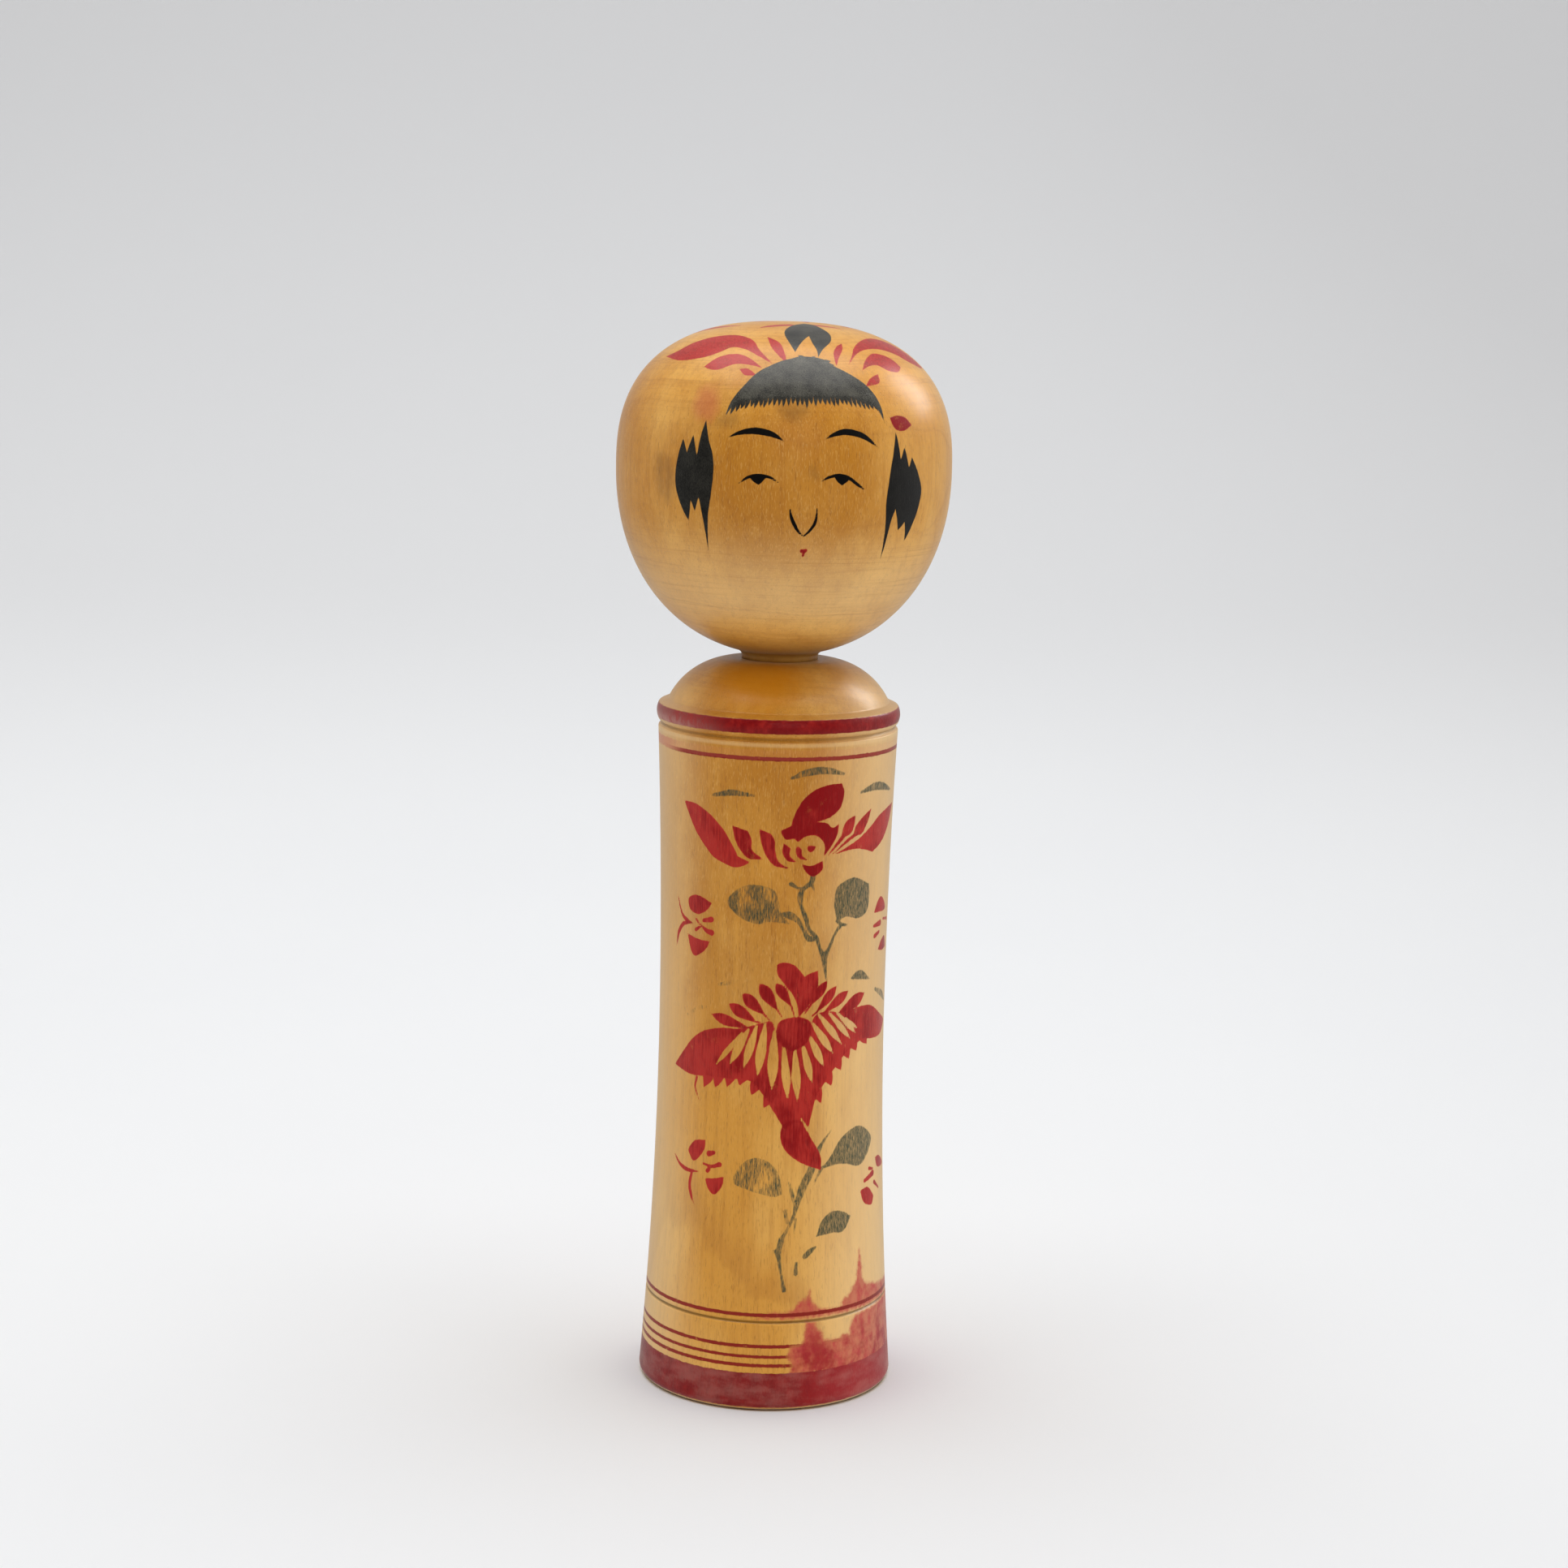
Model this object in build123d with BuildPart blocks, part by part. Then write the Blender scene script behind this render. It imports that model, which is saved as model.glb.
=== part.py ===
from build123d import *
import math
import os

# A turned wooden doll in two pieces: a body turned from one block, and a head
# whose neck tenon is sprung into a blind, undercut socket in the shoulder, so
# that the head turns without end but doesn't lift out.
# Millimetres. +Z is the lathe axis of both pieces, and the base rests on Z = 0.

# Body: long hollow side, from the foot in to the waist and out to the rim
waist_radius = 25.7
waist_height = 88.0
foot_flare = 3.4              # foot's radius, past the waist's
foot_rounding = 1.8
rim_flare = 1.35              # rim's radius, past the waist's
rim_height = 151.7
rim_rounding = 0.5

# Thin V-groove above the foot
foot_groove_height = 20.4
foot_groove_depth = 0.45

# V-groove above the rim, then a bead round the shoulder with a bevel on top
shoulder_groove_width = 1.4
shoulder_groove_depth = 0.85
bead_stand = 0.4              # bead's radius, past the rim's
bead_bulge = 0.18             # how far the bead's face swells between its edges
bead_width = 3.7
bevel_width = 2.4
bevel_rise = 0.9

# Domed shoulder, from the bevel up to the flat that the neck sits on
dome_rise = 9.3
seat_margin = 1.5             # flat left showing round the neck

# Head, outside: two squared half ovals that meet at the cheeks
head_width = 74.8
cheek_height = 43.0           # neck seat to the widest part
crown_height = 32.0           # widest part to the top
crown_squareness = 2.5        # 2 is an ellipse, and more is squarer
jaw_squareness = 2.15
under_angle = 24.0            # slope of the underside where it leaves the neck, degrees

# Neck, and the tenon below it
neck_radius = 8.6
neck_length = 1.8             # neck seat to the underside of the head
neck_hollow = 2.1             # radius of the hollow between the two
ledge_width = 1.0             # ledge of the neck that bears on the flat
journal_length = 9.0          # part of the tenon that turns in the socket's mouth
swell_step = 0.8              # how far the tenon's end stands out past the journal
swell_slope = 2.0             # height of the cone between the two
tenon_length = 43.0
tenon_lead = 1.5              # chamfer at the tip

# Fit of the tenon in its socket
running_clearance = 0.08      # on the radius, all along
lift_play = 0.2               # how far the head lifts before the swelling stops it
tip_clearance = 1.0           # between the tip and the socket's floor

# What follows from those sizes
foot_radius = waist_radius + foot_flare
rim_radius = waist_radius + rim_flare
bead_radius = rim_radius + bead_stand
bead_edge = bead_radius - bead_bulge
bead_bottom = rim_height + shoulder_groove_width
bead_top = bead_bottom + bead_width
dome_root = bead_top + bevel_rise
seat_height = dome_root + dome_rise
journal_radius = neck_radius - ledge_width
swell_radius = journal_radius + swell_step
swell_top = seat_height - journal_length
tenon_tip = seat_height - tenon_length

os.makedirs("parts", exist_ok=True)


def side_radius(height):
    """Radius of the hollow side at a height between the foot and the waist."""
    rise = waist_height - foot_rounding
    arc_radius = (rise ** 2 + foot_flare ** 2) / (2 * foot_flare)
    return waist_radius + arc_radius - math.sqrt(arc_radius ** 2 - (waist_height - height) ** 2)


def oval(radius, squareness):
    """Height of a squared half oval above its widest part, as a share of its full height."""
    return (1 - (2 * radius / head_width) ** squareness) ** (1 / squareness)


# Body: its outline from the base up to the neck seat, turned round the axis
with BuildPart() as body:
    with BuildSketch(Plane.XZ) as body_section:
        with BuildLine():
            base = Line((0, 0), (foot_radius - foot_rounding, 0))
            foot = TangentArc(base @ 1, (foot_radius, foot_rounding), tangent=(1, 0))
            TangentArc((waist_radius, waist_height), foot @ 1, tangent=(0, -1))
            TangentArc((waist_radius, waist_height), (rim_radius, rim_height), tangent=(0, 1))
            groove_bottom = (rim_radius - shoulder_groove_depth, rim_height + shoulder_groove_width / 2)
            Line((rim_radius, rim_height), groove_bottom)
            Line(groove_bottom, (bead_edge, bead_bottom))
            bead = ThreePointArc(
                (bead_edge, bead_bottom),
                (bead_radius, bead_bottom + bead_width / 2),
                (bead_edge, bead_top),
            )
            bevel = Line(bead @ 1, (bead_edge - bevel_width, dome_root))
            dome = TangentArc((neck_radius + seat_margin, seat_height), bevel @ 1, tangent=(1, 0))
            seat = Line(dome @ 0, (0, seat_height))
            Line(seat @ 1, base @ 0)
        make_face()
        rim_corner = body_section.vertices().sort_by_distance((rim_radius, rim_height, 0))[0]
        fillet(rim_corner, radius=rim_rounding)
        with Locations((side_radius(foot_groove_height), foot_groove_height)):
            groove_side = foot_groove_depth * math.sqrt(2)
            Rectangle(groove_side, groove_side, rotation=45, mode=Mode.SUBTRACT)
    revolve(axis=Axis.Z)

    # Blind socket: a mouth that guides the journal, then the undercut for the swelling
    mouth_radius = journal_radius + running_clearance
    undercut_radius = swell_radius + running_clearance
    lip_bottom = swell_top + lift_play
    socket_floor = tenon_tip - tip_clearance
    with BuildSketch(Plane.XZ):
        with BuildLine():
            mouth = Line((0, seat_height), (mouth_radius, seat_height))
            lip = Line(mouth @ 1, (mouth_radius, lip_bottom))
            undercut = Line(lip @ 1, (undercut_radius, lip_bottom - swell_slope))
            wall = Line(undercut @ 1, (undercut_radius, socket_floor + tenon_lead))
            corner = Line(wall @ 1, (undercut_radius - tenon_lead, socket_floor))
            floor = Line(corner @ 1, (0, socket_floor))
            Line(floor @ 1, mouth @ 0)
        make_face()
    revolve(axis=Axis.Z, mode=Mode.SUBTRACT)

body.part.label = "body"
export_step(body.part, "parts/body.step")


# Head: tenon, neck, underside, cheeks and crown, all turned in one piece
cheek_radius = head_width / 2
cheek_level = seat_height + cheek_height
crown_level = cheek_level + crown_height
jaw_depth = (cheek_height - neck_length) / oval(neck_radius, jaw_squareness)
under_way = (math.cos(math.radians(under_angle)), math.sin(math.radians(under_angle)))
underside = [
    (radius, cheek_level - jaw_depth * oval(radius, jaw_squareness))
    for radius in (neck_radius, 0.5 * cheek_radius, 0.75 * cheek_radius, 0.92 * cheek_radius, cheek_radius)
]
top = [
    (radius, cheek_level + crown_height * oval(radius, crown_squareness))
    for radius in (cheek_radius, 0.95 * cheek_radius, 0.8 * cheek_radius, 0.5 * cheek_radius, 0)
]

with BuildPart() as head:
    with BuildSketch(Plane.XZ) as head_section:
        with BuildLine():
            tip = Line((0, tenon_tip), (swell_radius - tenon_lead, tenon_tip))
            lead = Line(tip @ 1, (swell_radius, tenon_tip + tenon_lead))
            swelling = Line(lead @ 1, (swell_radius, swell_top - swell_slope))
            cone = Line(swelling @ 1, (journal_radius, swell_top))
            journal = Line(cone @ 1, (journal_radius, seat_height))
            ledge = Line(journal @ 1, (neck_radius, seat_height))
            neck = Line(ledge @ 1, underside[0])
            Spline(underside, tangents=[under_way, (0, 1)])
            Spline(top, tangents=[(0, 1), (-1, 0)])
            Line((0, crown_level), tip @ 0)
        make_face()
        under_head = head_section.vertices().sort_by_distance(neck @ 1)[0]
        fillet(under_head, radius=neck_hollow)
    revolve(axis=Axis.Z)

head.part.label = "head"
export_step(head.part, "parts/head.step")
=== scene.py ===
import math
import bmesh
import bpy
import numpy as np
from mathutils import Euler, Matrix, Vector


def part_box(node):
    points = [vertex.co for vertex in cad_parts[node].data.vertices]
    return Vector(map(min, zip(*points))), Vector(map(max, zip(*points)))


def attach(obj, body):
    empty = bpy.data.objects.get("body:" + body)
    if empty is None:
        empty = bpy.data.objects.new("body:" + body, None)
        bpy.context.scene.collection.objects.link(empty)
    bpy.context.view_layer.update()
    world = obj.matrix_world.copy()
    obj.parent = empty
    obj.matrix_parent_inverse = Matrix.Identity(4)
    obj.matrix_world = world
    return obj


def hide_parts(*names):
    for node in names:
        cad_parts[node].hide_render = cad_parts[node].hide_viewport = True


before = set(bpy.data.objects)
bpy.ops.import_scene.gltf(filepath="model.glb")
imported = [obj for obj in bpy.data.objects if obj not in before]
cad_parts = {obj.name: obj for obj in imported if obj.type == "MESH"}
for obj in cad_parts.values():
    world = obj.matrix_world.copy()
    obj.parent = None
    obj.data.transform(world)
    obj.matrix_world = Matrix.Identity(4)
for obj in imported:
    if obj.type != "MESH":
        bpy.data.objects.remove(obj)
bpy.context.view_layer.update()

MM = 0.001


# ---------------------------------------------------------------------------
# Body, as it leaves the lathe: one block of pale dogwood with a hollow side, a
# thin groove above the foot, a groove and a bead round the shoulder, a dome,
# and the blind undercut socket that holds the head's tenon.
# Sizes are in millimetres, and each outline runs as (radius, height).
body_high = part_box("body")[1]
seat_height = body_high.z / MM
foot_radius = body_high.x / MM
foot_rounding = 1.8
waist_radius = 25.7
waist_height = 88.0
rim_radius = 27.05
rim_height = 151.7
rim_softening = 0.35
shoulder_groove_depth = 0.85
bead_bottom = 153.1
bead_top = 156.8
bead_radius = 27.45
bead_bulge = 0.18
bead_rounding = 0.42
bead_corner = 0.08
bevel_width = 2.4
dome_root = 157.7
neck_radius = 8.6
seat_margin = 1.5
side_step = 0.35
foot_groove_height = 20.4
foot_groove_depth = 0.45
mouth_radius = 7.68
undercut_radius = 8.48
lip_bottom = 158.2
lip_slope = 2.0
socket_floor = 123.0
socket_corner = 1.5


def arc(start, end, centre, step):
    """Points on a circular arc about a centre, a step apart, both ends included."""
    first = math.atan2(start[1] - centre[1], start[0] - centre[0])
    last = math.atan2(end[1] - centre[1], end[0] - centre[0])
    radius = math.hypot(start[0] - centre[0], start[1] - centre[1])
    count = max(2, math.ceil(abs(last - first) * radius / step))
    angles = [first + (last - first) * i / count for i in range(count + 1)]
    return [(centre[0] + radius * math.cos(a), centre[1] + radius * math.sin(a)) for a in angles]


def straight(corners, step):
    """Points along straight runs from corner to corner, a step apart at most."""
    points = [corners[0]]
    for a, b in zip(corners, corners[1:]):
        count = max(1, math.ceil(math.hypot(b[0] - a[0], b[1] - a[1]) / step))
        shares = [i / count for i in range(1, count + 1)]
        points += [(a[0] + (b[0] - a[0]) * t, a[1] + (b[1] - a[1]) * t) for t in shares]
    return points


def hollow_side(height):
    """Radius of the long side, which is two wide arcs that meet upright at the waist."""
    if height < waist_height:
        flare, rise = foot_radius - waist_radius, waist_height - foot_rounding
    else:
        flare, rise = rim_radius - waist_radius, rim_height - waist_height
    bow = (rise ** 2 + flare ** 2) / (2 * flare)
    return waist_radius + bow - math.sqrt(bow ** 2 - (height - waist_height) ** 2)


def along_side(low, high, step):
    """Points up the hollow side between two heights."""
    count = math.ceil((high - low) / step)
    heights = [low + (high - low) * i / count for i in range(count + 1)]
    return [(hollow_side(h), h) for h in heights]


groove_low = foot_groove_height - foot_groove_depth
groove_high = foot_groove_height + foot_groove_depth
bead_edge = bead_radius - bead_bulge
dome_reach = bead_edge - bevel_width - neck_radius - seat_margin
dome_rise = seat_height - dome_root
dome_radius = (dome_reach ** 2 + dome_rise ** 2) / (2 * dome_rise)
dome_centre = (neck_radius + seat_margin, seat_height - dome_radius)
bead_mid = (bead_bottom + bead_top) / 2
bead_face = bead_radius - bead_rounding
bead_arc = ((bead_top - bead_mid - bead_corner) ** 2 + bead_rounding ** 2) / (2 * bead_rounding)

body_outline = straight([(0.0, 0.0), (foot_radius - foot_rounding, 0.0)], 4.0)
foot_corner = (foot_radius - foot_rounding, foot_rounding)
body_outline += arc(body_outline[-1], (foot_radius, foot_rounding), foot_corner, 0.3)[1:]
body_outline += along_side(foot_rounding, groove_low, side_step)[1:]
body_outline += straight(
    [
        (hollow_side(groove_low), groove_low),
        (hollow_side(foot_groove_height) - foot_groove_depth, foot_groove_height),
        (hollow_side(groove_high), groove_high),
    ],
    0.16,
)[1:]
side_top = rim_height - rim_softening
body_outline += along_side(groove_high, side_top, side_step)[1:]
body_outline += arc(
    (hollow_side(side_top), side_top),
    (rim_radius - rim_softening, rim_height + 0.15),
    (rim_radius - 0.45, rim_height - 0.3),
    0.12,
)[1:]
body_outline += straight(
    [
        body_outline[-1],
        (rim_radius - shoulder_groove_depth, (rim_height + bead_bottom) / 2),
        (bead_face - 0.1, bead_bottom - 0.06),
        (bead_face, bead_bottom + bead_corner),
    ],
    0.2,
)[1:]
bead_centre = (bead_radius - bead_arc, bead_mid)
body_outline += arc(body_outline[-1], (bead_face, bead_top - bead_corner), bead_centre, 0.3)[1:]
body_outline += straight(
    [body_outline[-1], (bead_face - 0.12, bead_top + 0.06), (bead_edge - bevel_width, dome_root)], 0.3
)[1:]
body_outline += arc(body_outline[-1], (neck_radius + seat_margin, seat_height), dome_centre, 0.35)[1:]
body_outline += straight([body_outline[-1], (mouth_radius, seat_height)], 0.4)[1:]
body_outline += straight(
    [
        (mouth_radius, seat_height),
        (mouth_radius, lip_bottom),
        (undercut_radius, lip_bottom - lip_slope),
        (undercut_radius, socket_floor + socket_corner),
        (undercut_radius - socket_corner, socket_floor),
        (0.0, socket_floor),
    ],
    3.0,
)[1:]


def round_steps(fine_degrees, fine_step, coarse_step):
    """Angles round the axis: close together each side of the front, wide apart behind."""
    fine = np.arange(-fine_degrees, fine_degrees, fine_step)
    back = np.linspace(fine_degrees, 360 - fine_degrees, round((360 - 2 * fine_degrees) / coarse_step) + 1)
    return np.radians(np.concatenate([fine, back[:-1]]))


def turn(name, outline, angles):
    """A closed mesh turned from an outline that begins and ends on the axis; angle 0 is the front, -Y."""
    rings = outline[1:-1]
    mesh = bpy.data.meshes.new(name)
    radii = np.array([r for r, z in rings])[:, None]
    heights = np.array([z for r, z in rings])[:, None]
    x = radii * np.sin(angles)[None, :]
    y = -radii * np.cos(angles)[None, :]
    z = heights + np.zeros_like(x)
    points = np.stack([x, y, z], -1).reshape(-1, 3)
    ends = np.array([[0, 0, outline[0][1]], [0, 0, outline[-1][1]]])
    points = np.concatenate([points, ends]) * MM
    around = len(angles)
    here = np.arange(len(rings) - 1)[:, None] * around + np.arange(around)[None, :]
    beside = np.arange(len(rings) - 1)[:, None] * around + (np.arange(around) + 1)[None, :] % around
    quads = np.stack([here, beside, beside + around, here + around], -1).reshape(-1, 4).tolist()
    first, last = len(points) - 2, len(points) - 1
    top = (len(rings) - 1) * around
    fans = [(first, (i + 1) % around, i) for i in range(around)]
    fans += [(last, top + i, top + (i + 1) % around) for i in range(around)]
    mesh.from_pydata(points.tolist(), [], quads + fans)
    mesh.shade_smooth()
    mesh.validate()
    piece = bpy.data.objects.new(name, mesh)
    bpy.context.scene.collection.objects.link(piece)
    return piece


body_piece = turn("turned_body", body_outline, round_steps(88, 0.86, 4.2))
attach(body_piece, "body")
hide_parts("body")


# ---------------------------------------------------------------------------
# How the brush works, on either piece. A stroke is a few places under the
# brush with half the mark's width at each, and a patch is a filled outline
# with some sharp tips. Both give, at every point of the surface, how far
# inside the mark it is, in millimetres, so that edges stay crisp at any size.
OFF = -6.0
FAR_ROUND = 500.0


def bend_through(points, per_span=9):
    """A smooth line through a few points, each point given as any count of numbers."""
    p = np.array(points, float)
    if len(p) == 2:
        t = np.linspace(0, 1, per_span + 1)[:, None]
        return p[0] + (p[1] - p[0]) * t
    ends = np.concatenate([[2 * p[0] - p[1]], p, [2 * p[-1] - p[-2]]])
    t = np.linspace(0, 1, per_span, endpoint=False)[:, None]
    spans = []
    for a, b, c, d in zip(ends, ends[1:], ends[2:], ends[3:]):
        curve = 2 * b + (c - a) * t + (2 * a - 5 * b + 4 * c - d) * t ** 2
        spans.append(0.5 * (curve + (3 * b - a - 3 * c + d) * t ** 3))
    return np.concatenate(spans + [p[-1:]])


def stroke(surface, places, half_widths):
    """How far inside one brush stroke each point of the surface is."""
    marks = bend_through([(*p, w) for p, w in zip(places, half_widths)])
    inside = np.full(len(surface), OFF)
    low, high = marks[:, :2].min(0) - 3, marks[:, :2].max(0) + 3
    near = np.flatnonzero(((surface > low) & (surface < high)).all(1))
    for across, up, half in marks:
        gap = np.hypot(surface[near, 0] - across, surface[near, 1] - up)
        inside[near] = np.maximum(inside[near], max(half, 0.02) - gap)
    return inside


def patch(surface, outline, tips):
    """How far inside a filled outline each point is. The outline bends smoothly from tip to tip."""
    ring = outline[tips[0]:] + outline[:tips[0]]
    turns = [t - tips[0] for t in tips] + [len(outline)]
    ring = ring + ring[:1]
    edge = np.concatenate([bend_through(ring[a:b + 1], 7)[:-1] for a, b in zip(turns, turns[1:])])
    inside = np.full(len(surface), OFF)
    low, high = edge.min(0) - 3, edge.max(0) + 3
    near = np.flatnonzero(((surface > low) & (surface < high)).all(1))
    p = surface[near]
    gap = np.full(len(near), 99.0)
    crossings = np.zeros(len(near), int)
    for a, b in zip(edge, np.roll(edge, -1, 0)):
        run = b - a
        share = np.clip(((p - a) @ run) / max(run @ run, 1e-9), 0, 1)
        gap = np.minimum(gap, np.hypot(*(p - a - share[:, None] * run).T))
        if abs(run[1]) > 1e-9:
            passes = (a[1] > p[:, 1]) != (b[1] > p[:, 1])
            crossings += passes & (p[:, 0] < a[0] + run[0] * (p[:, 1] - a[1]) / run[1])
    inside[near] = np.where(crossings % 2 == 1, gap, -gap)
    return inside


class Paint:
    """One colour on one piece: where it lies, how many coats, and how dry the brush was."""

    def __init__(self, count):
        self.inside = np.full(count, OFF)
        self.coats = np.zeros(count)
        self.dryness = np.zeros(count)

    def lay(self, mark, load=1.0, dry=0.0):
        """Adds a mark; where it crosses an earlier one, the coats add up a little."""
        cover = np.clip(mark / 0.3 + 0.5, 0, 1)
        fresh = cover * load
        self.coats = np.maximum(self.coats, fresh) + 0.25 * np.minimum(self.coats, fresh)
        self.dryness = np.where(mark > self.inside, dry, self.dryness)
        self.inside = np.maximum(self.inside, mark)

    def leave_bare(self, mark):
        """Keeps the brush off a mark's shape."""
        self.inside = np.minimum(self.inside, -mark)

    def keep(self, piece, name):
        """Stores the colour on its piece, for the finish to read."""
        for part, values in (("", self.inside), ("_coats", self.coats), ("_dry", self.dryness)):
            layer = piece.data.attributes.new(name + part, "FLOAT", "POINT")
            layer.data.foreach_set("value", values.astype(np.float32))


def places_on(piece):
    """Every point of a piece, in millimetres."""
    flat = np.empty(len(piece.data.vertices) * 3, np.float32)
    piece.data.vertices.foreach_get("co", flat)
    return flat.reshape(-1, 3).astype(float) / MM


# ---------------------------------------------------------------------------
# Flowers on the body, brushed freehand in red dye, with stalks and leaves in
# thin grey-green. Across is measured round the side from the front, and up
# from the base. The petals of a flower are single strokes laid round a bare
# eye, and a second stroke over the first makes it darker.
body_points = places_on(body_piece)
brush_radius = 26.5
side_begins = 20.0
body_across = np.arctan2(body_points[:, 0], -body_points[:, 1]) * brush_radius
body_up = body_points[:, 2]
on_side = np.hypot(body_points[:, 0], body_points[:, 1]) > side_begins
side = np.stack([np.where(on_side, body_across, FAR_ROUND), body_up], -1)
body_red = Paint(len(side))
body_green = Paint(len(side))


def petal(tip, root, half_width, load=1.0, belly=0.35, thread_to=None):
    """One pointed petal stroke, fullest near its tip, that may end in a thin thread of dye."""
    tip, root = np.array(tip), np.array(root)
    middle = tip + (root - tip) * belly
    near_root = tip + (root - tip) * 0.72
    half_widths = [0.05, half_width, half_width * 0.62, 0.12]
    body_red.lay(stroke(side, [tip, middle, near_root, root], half_widths), load)
    if thread_to is not None:
        body_red.lay(stroke(side, [near_root, root, thread_to], [0.3, 0.27, 0.2]), 0.8 * load)


# upper flower: one large petal each side, a folded one on top, and small ones between
left_petal = [
    (-23.2, 137), (-19.4, 136.8), (-15.9, 135.2), (-13.3, 133.2), (-11.2, 130.9), (-10.3, 128.8),
    (-9.2, 126.6), (-5.6, 125), (-7.3, 124), (-9.4, 123.6), (-11.9, 124.3), (-14.4, 125.4), (-16.6, 127.4),
    (-19.4, 130.6), (-21.6, 134.1),
]
body_red.lay(patch(side, left_petal, [0, 7]), 0.75)
body_red.lay(
    stroke(side, [(-15.5, 134.2), (-13, 130.5), (-11.2, 127.5), (-8.2, 124.8)], [0.3, 1.5, 1.8, 0.4]),
    0.5,
)
for outline, tips, load in (
    (
        [
            (-9.9, 133), (-6.2, 132), (-5.3, 130), (-5.1, 127.7), (-2.6, 125.8), (-5.9, 125.8), (-8, 127.7),
            (-9.3, 130.2),
        ],
        [0, 1, 4],
        1.2,
    ),
    (
        [
            (-3.7, 132.6), (-1, 131.6), (-0.1, 129.9), (0, 127.7), (0.9, 125.3), (3.5, 123.8), (0.2, 124.3),
            (-1.6, 125.9), (-3, 128.8),
        ],
        [0, 1, 5],
        1.3,
    ),
    ([(1.8, 129.6), (3.4, 128.4), (3.3, 126.7), (4.9, 125.2), (2.7, 125.6), (1.6, 127.4)], [0, 1, 3], 1.2),
    ([(4.7, 129.2), (5.9, 128.1), (6.1, 126.7), (7.6, 125.6), (5.5, 126), (4.5, 127.6)], [0, 1, 3], 1.3),
):
    body_red.lay(patch(side, outline, tips), load)
folded_petal = [
    (1.1, 132.4), (3.4, 133.4), (3.8, 135.2), (5.6, 138.8), (8.4, 141.3), (12, 142.4), (15, 142.5),
    (15.7, 140.6), (15.2, 137.7), (14.1, 136.2), (12, 134.9), (9.4, 134.2), (11.6, 133.8), (13.1, 132.7),
    (14.7, 133.5), (14.3, 130.9), (12.6, 128.1), (11, 126.2), (11.3, 128.3), (10.6, 130), (8.6, 131.2),
    (6.4, 130.8), (5, 129.8), (4.1, 130.5), (2.3, 130.3), (1.4, 131.4),
]
body_red.lay(patch(side, folded_petal, [0, 1, 6, 11, 14, 17]), 1.7)
for outline, tips, load in (
    ([(7.2, 128.9), (8.3, 128.9), (9.2, 128.7), (8.8, 127.9), (7.9, 127.4), (7.2, 128)], [0, 2], 1.3),
    ([(19.2, 135), (16.8, 134), (15.7, 132), (15.4, 130), (18, 131), (18.9, 132.8)], [0, 3], 1.0),
    (
        [
            (24.4, 136), (21.3, 134.2), (19.4, 132.4), (18.8, 130.4), (21.3, 130.5), (22.9, 132.4),
            (23.8, 134.1),
        ],
        [0, 3],
        1.0,
    ),
):
    body_red.lay(patch(side, outline, tips), load)
body_red.lay(stroke(side, [(16.6, 131.2), (14.5, 129), (12.2, 126.6)], [0.6, 0.42, 0.12]), 1.0)
body_red.lay(stroke(side, [(20, 130.9), (16.8, 129.2), (13.4, 126.8)], [0.5, 0.36, 0.12]), 1.0)
right_petal = [
    (37, 135.6), (32, 135), (27.7, 133.8), (24.1, 131.6), (20.6, 129.6), (17.7, 128.3), (13.6, 126.6),
    (18.4, 127.3), (22, 127), (25.6, 125.9), (28.4, 127), (31.3, 128.8), (34.3, 131.8),
]
body_red.lay(patch(side, right_petal, [0, 6, 9]), 0.85)
body_red.lay(stroke(side, [(24, 130), (27, 128.6), (30.5, 129.8)], [0.8, 1.6, 0.5]), 0.35)
bead_below = [(5.9, 124.9), (8.1, 124.4), (10.9, 125.4), (10.9, 123.4), (8.8, 121.9), (7, 123)]
body_red.lay(patch(side, bead_below, [0, 2]), 1.5)

# lower flower: pointed petals in a fan over a dark heart, and below it a bell cut with narrow bare petals
for tip, root, half_width, thread_to in (
    ((0.8, 98), (4.3, 93), 1.2, (5.2, 90.6)),
    ((-2.9, 97.8), (1.2, 92), 1.45, (2.3, 90.4)),
    ((-6.9, 95.3), (-1.8, 90.9), 1.4, (0.4, 88.6)),
    ((-10.1, 92.7), (-3.6, 89.1), 1.35, (-0.6, 88.6)),
    ((-14.7, 89.8), (-5.3, 87.6), 1.25, (-2.6, 87.8)),
    ((13.1, 98.1), (9, 92.9), 1.1, (7.6, 90.9)),
    ((15.6, 96.7), (10.6, 91.2), 1.15, (9.4, 90.3)),
    ((19.1, 95.2), (12.6, 91), 1.2, (11, 90.4)),
    ((24.8, 93.9), (16.4, 90.4), 1.5, (14.4, 90)),
):
    petal(tip, root, half_width, 1.15, thread_to=thread_to)
top_petal = [
    (0.9, 102.2), (2.6, 102.7), (5, 102), (7.4, 99.4), (8.5, 100), (10.6, 100.6), (10.7, 97), (9.6, 94.4),
    (8.1, 92.2), (6.2, 90), (5.9, 92.6), (4.9, 95), (3, 97.5), (1.2, 99.8),
]
body_red.lay(patch(side, top_petal, [0, 3, 5, 9]), 1.15)
bell = [
    (-26.2, 76.2), (-23, 79.9), (-20, 83.3), (-16.5, 85.7), (-12, 87), (-8, 87.2), (-4.2, 88.2),
    (-0.4, 89.2), (1, 87.2), (4.8, 83.4), (9, 87.4), (10.2, 90.4), (13.3, 91.2), (16, 90.6), (19, 90.6),
    (24, 91), (28, 90.3), (33, 87.6), (38, 85), (34, 82.6), (28.5, 82.6), (24.4, 83.2), (20, 81.6),
    (17, 79.4), (14, 76), (11.4, 72.6), (10.2, 69.5), (9.2, 65), (6.5, 66.2), (3.3, 64.9), (0.8, 68.9),
    (-2, 73), (-5, 75.6), (-9.5, 75.6), (-14.5, 75.6), (-20, 75),
]
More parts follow.
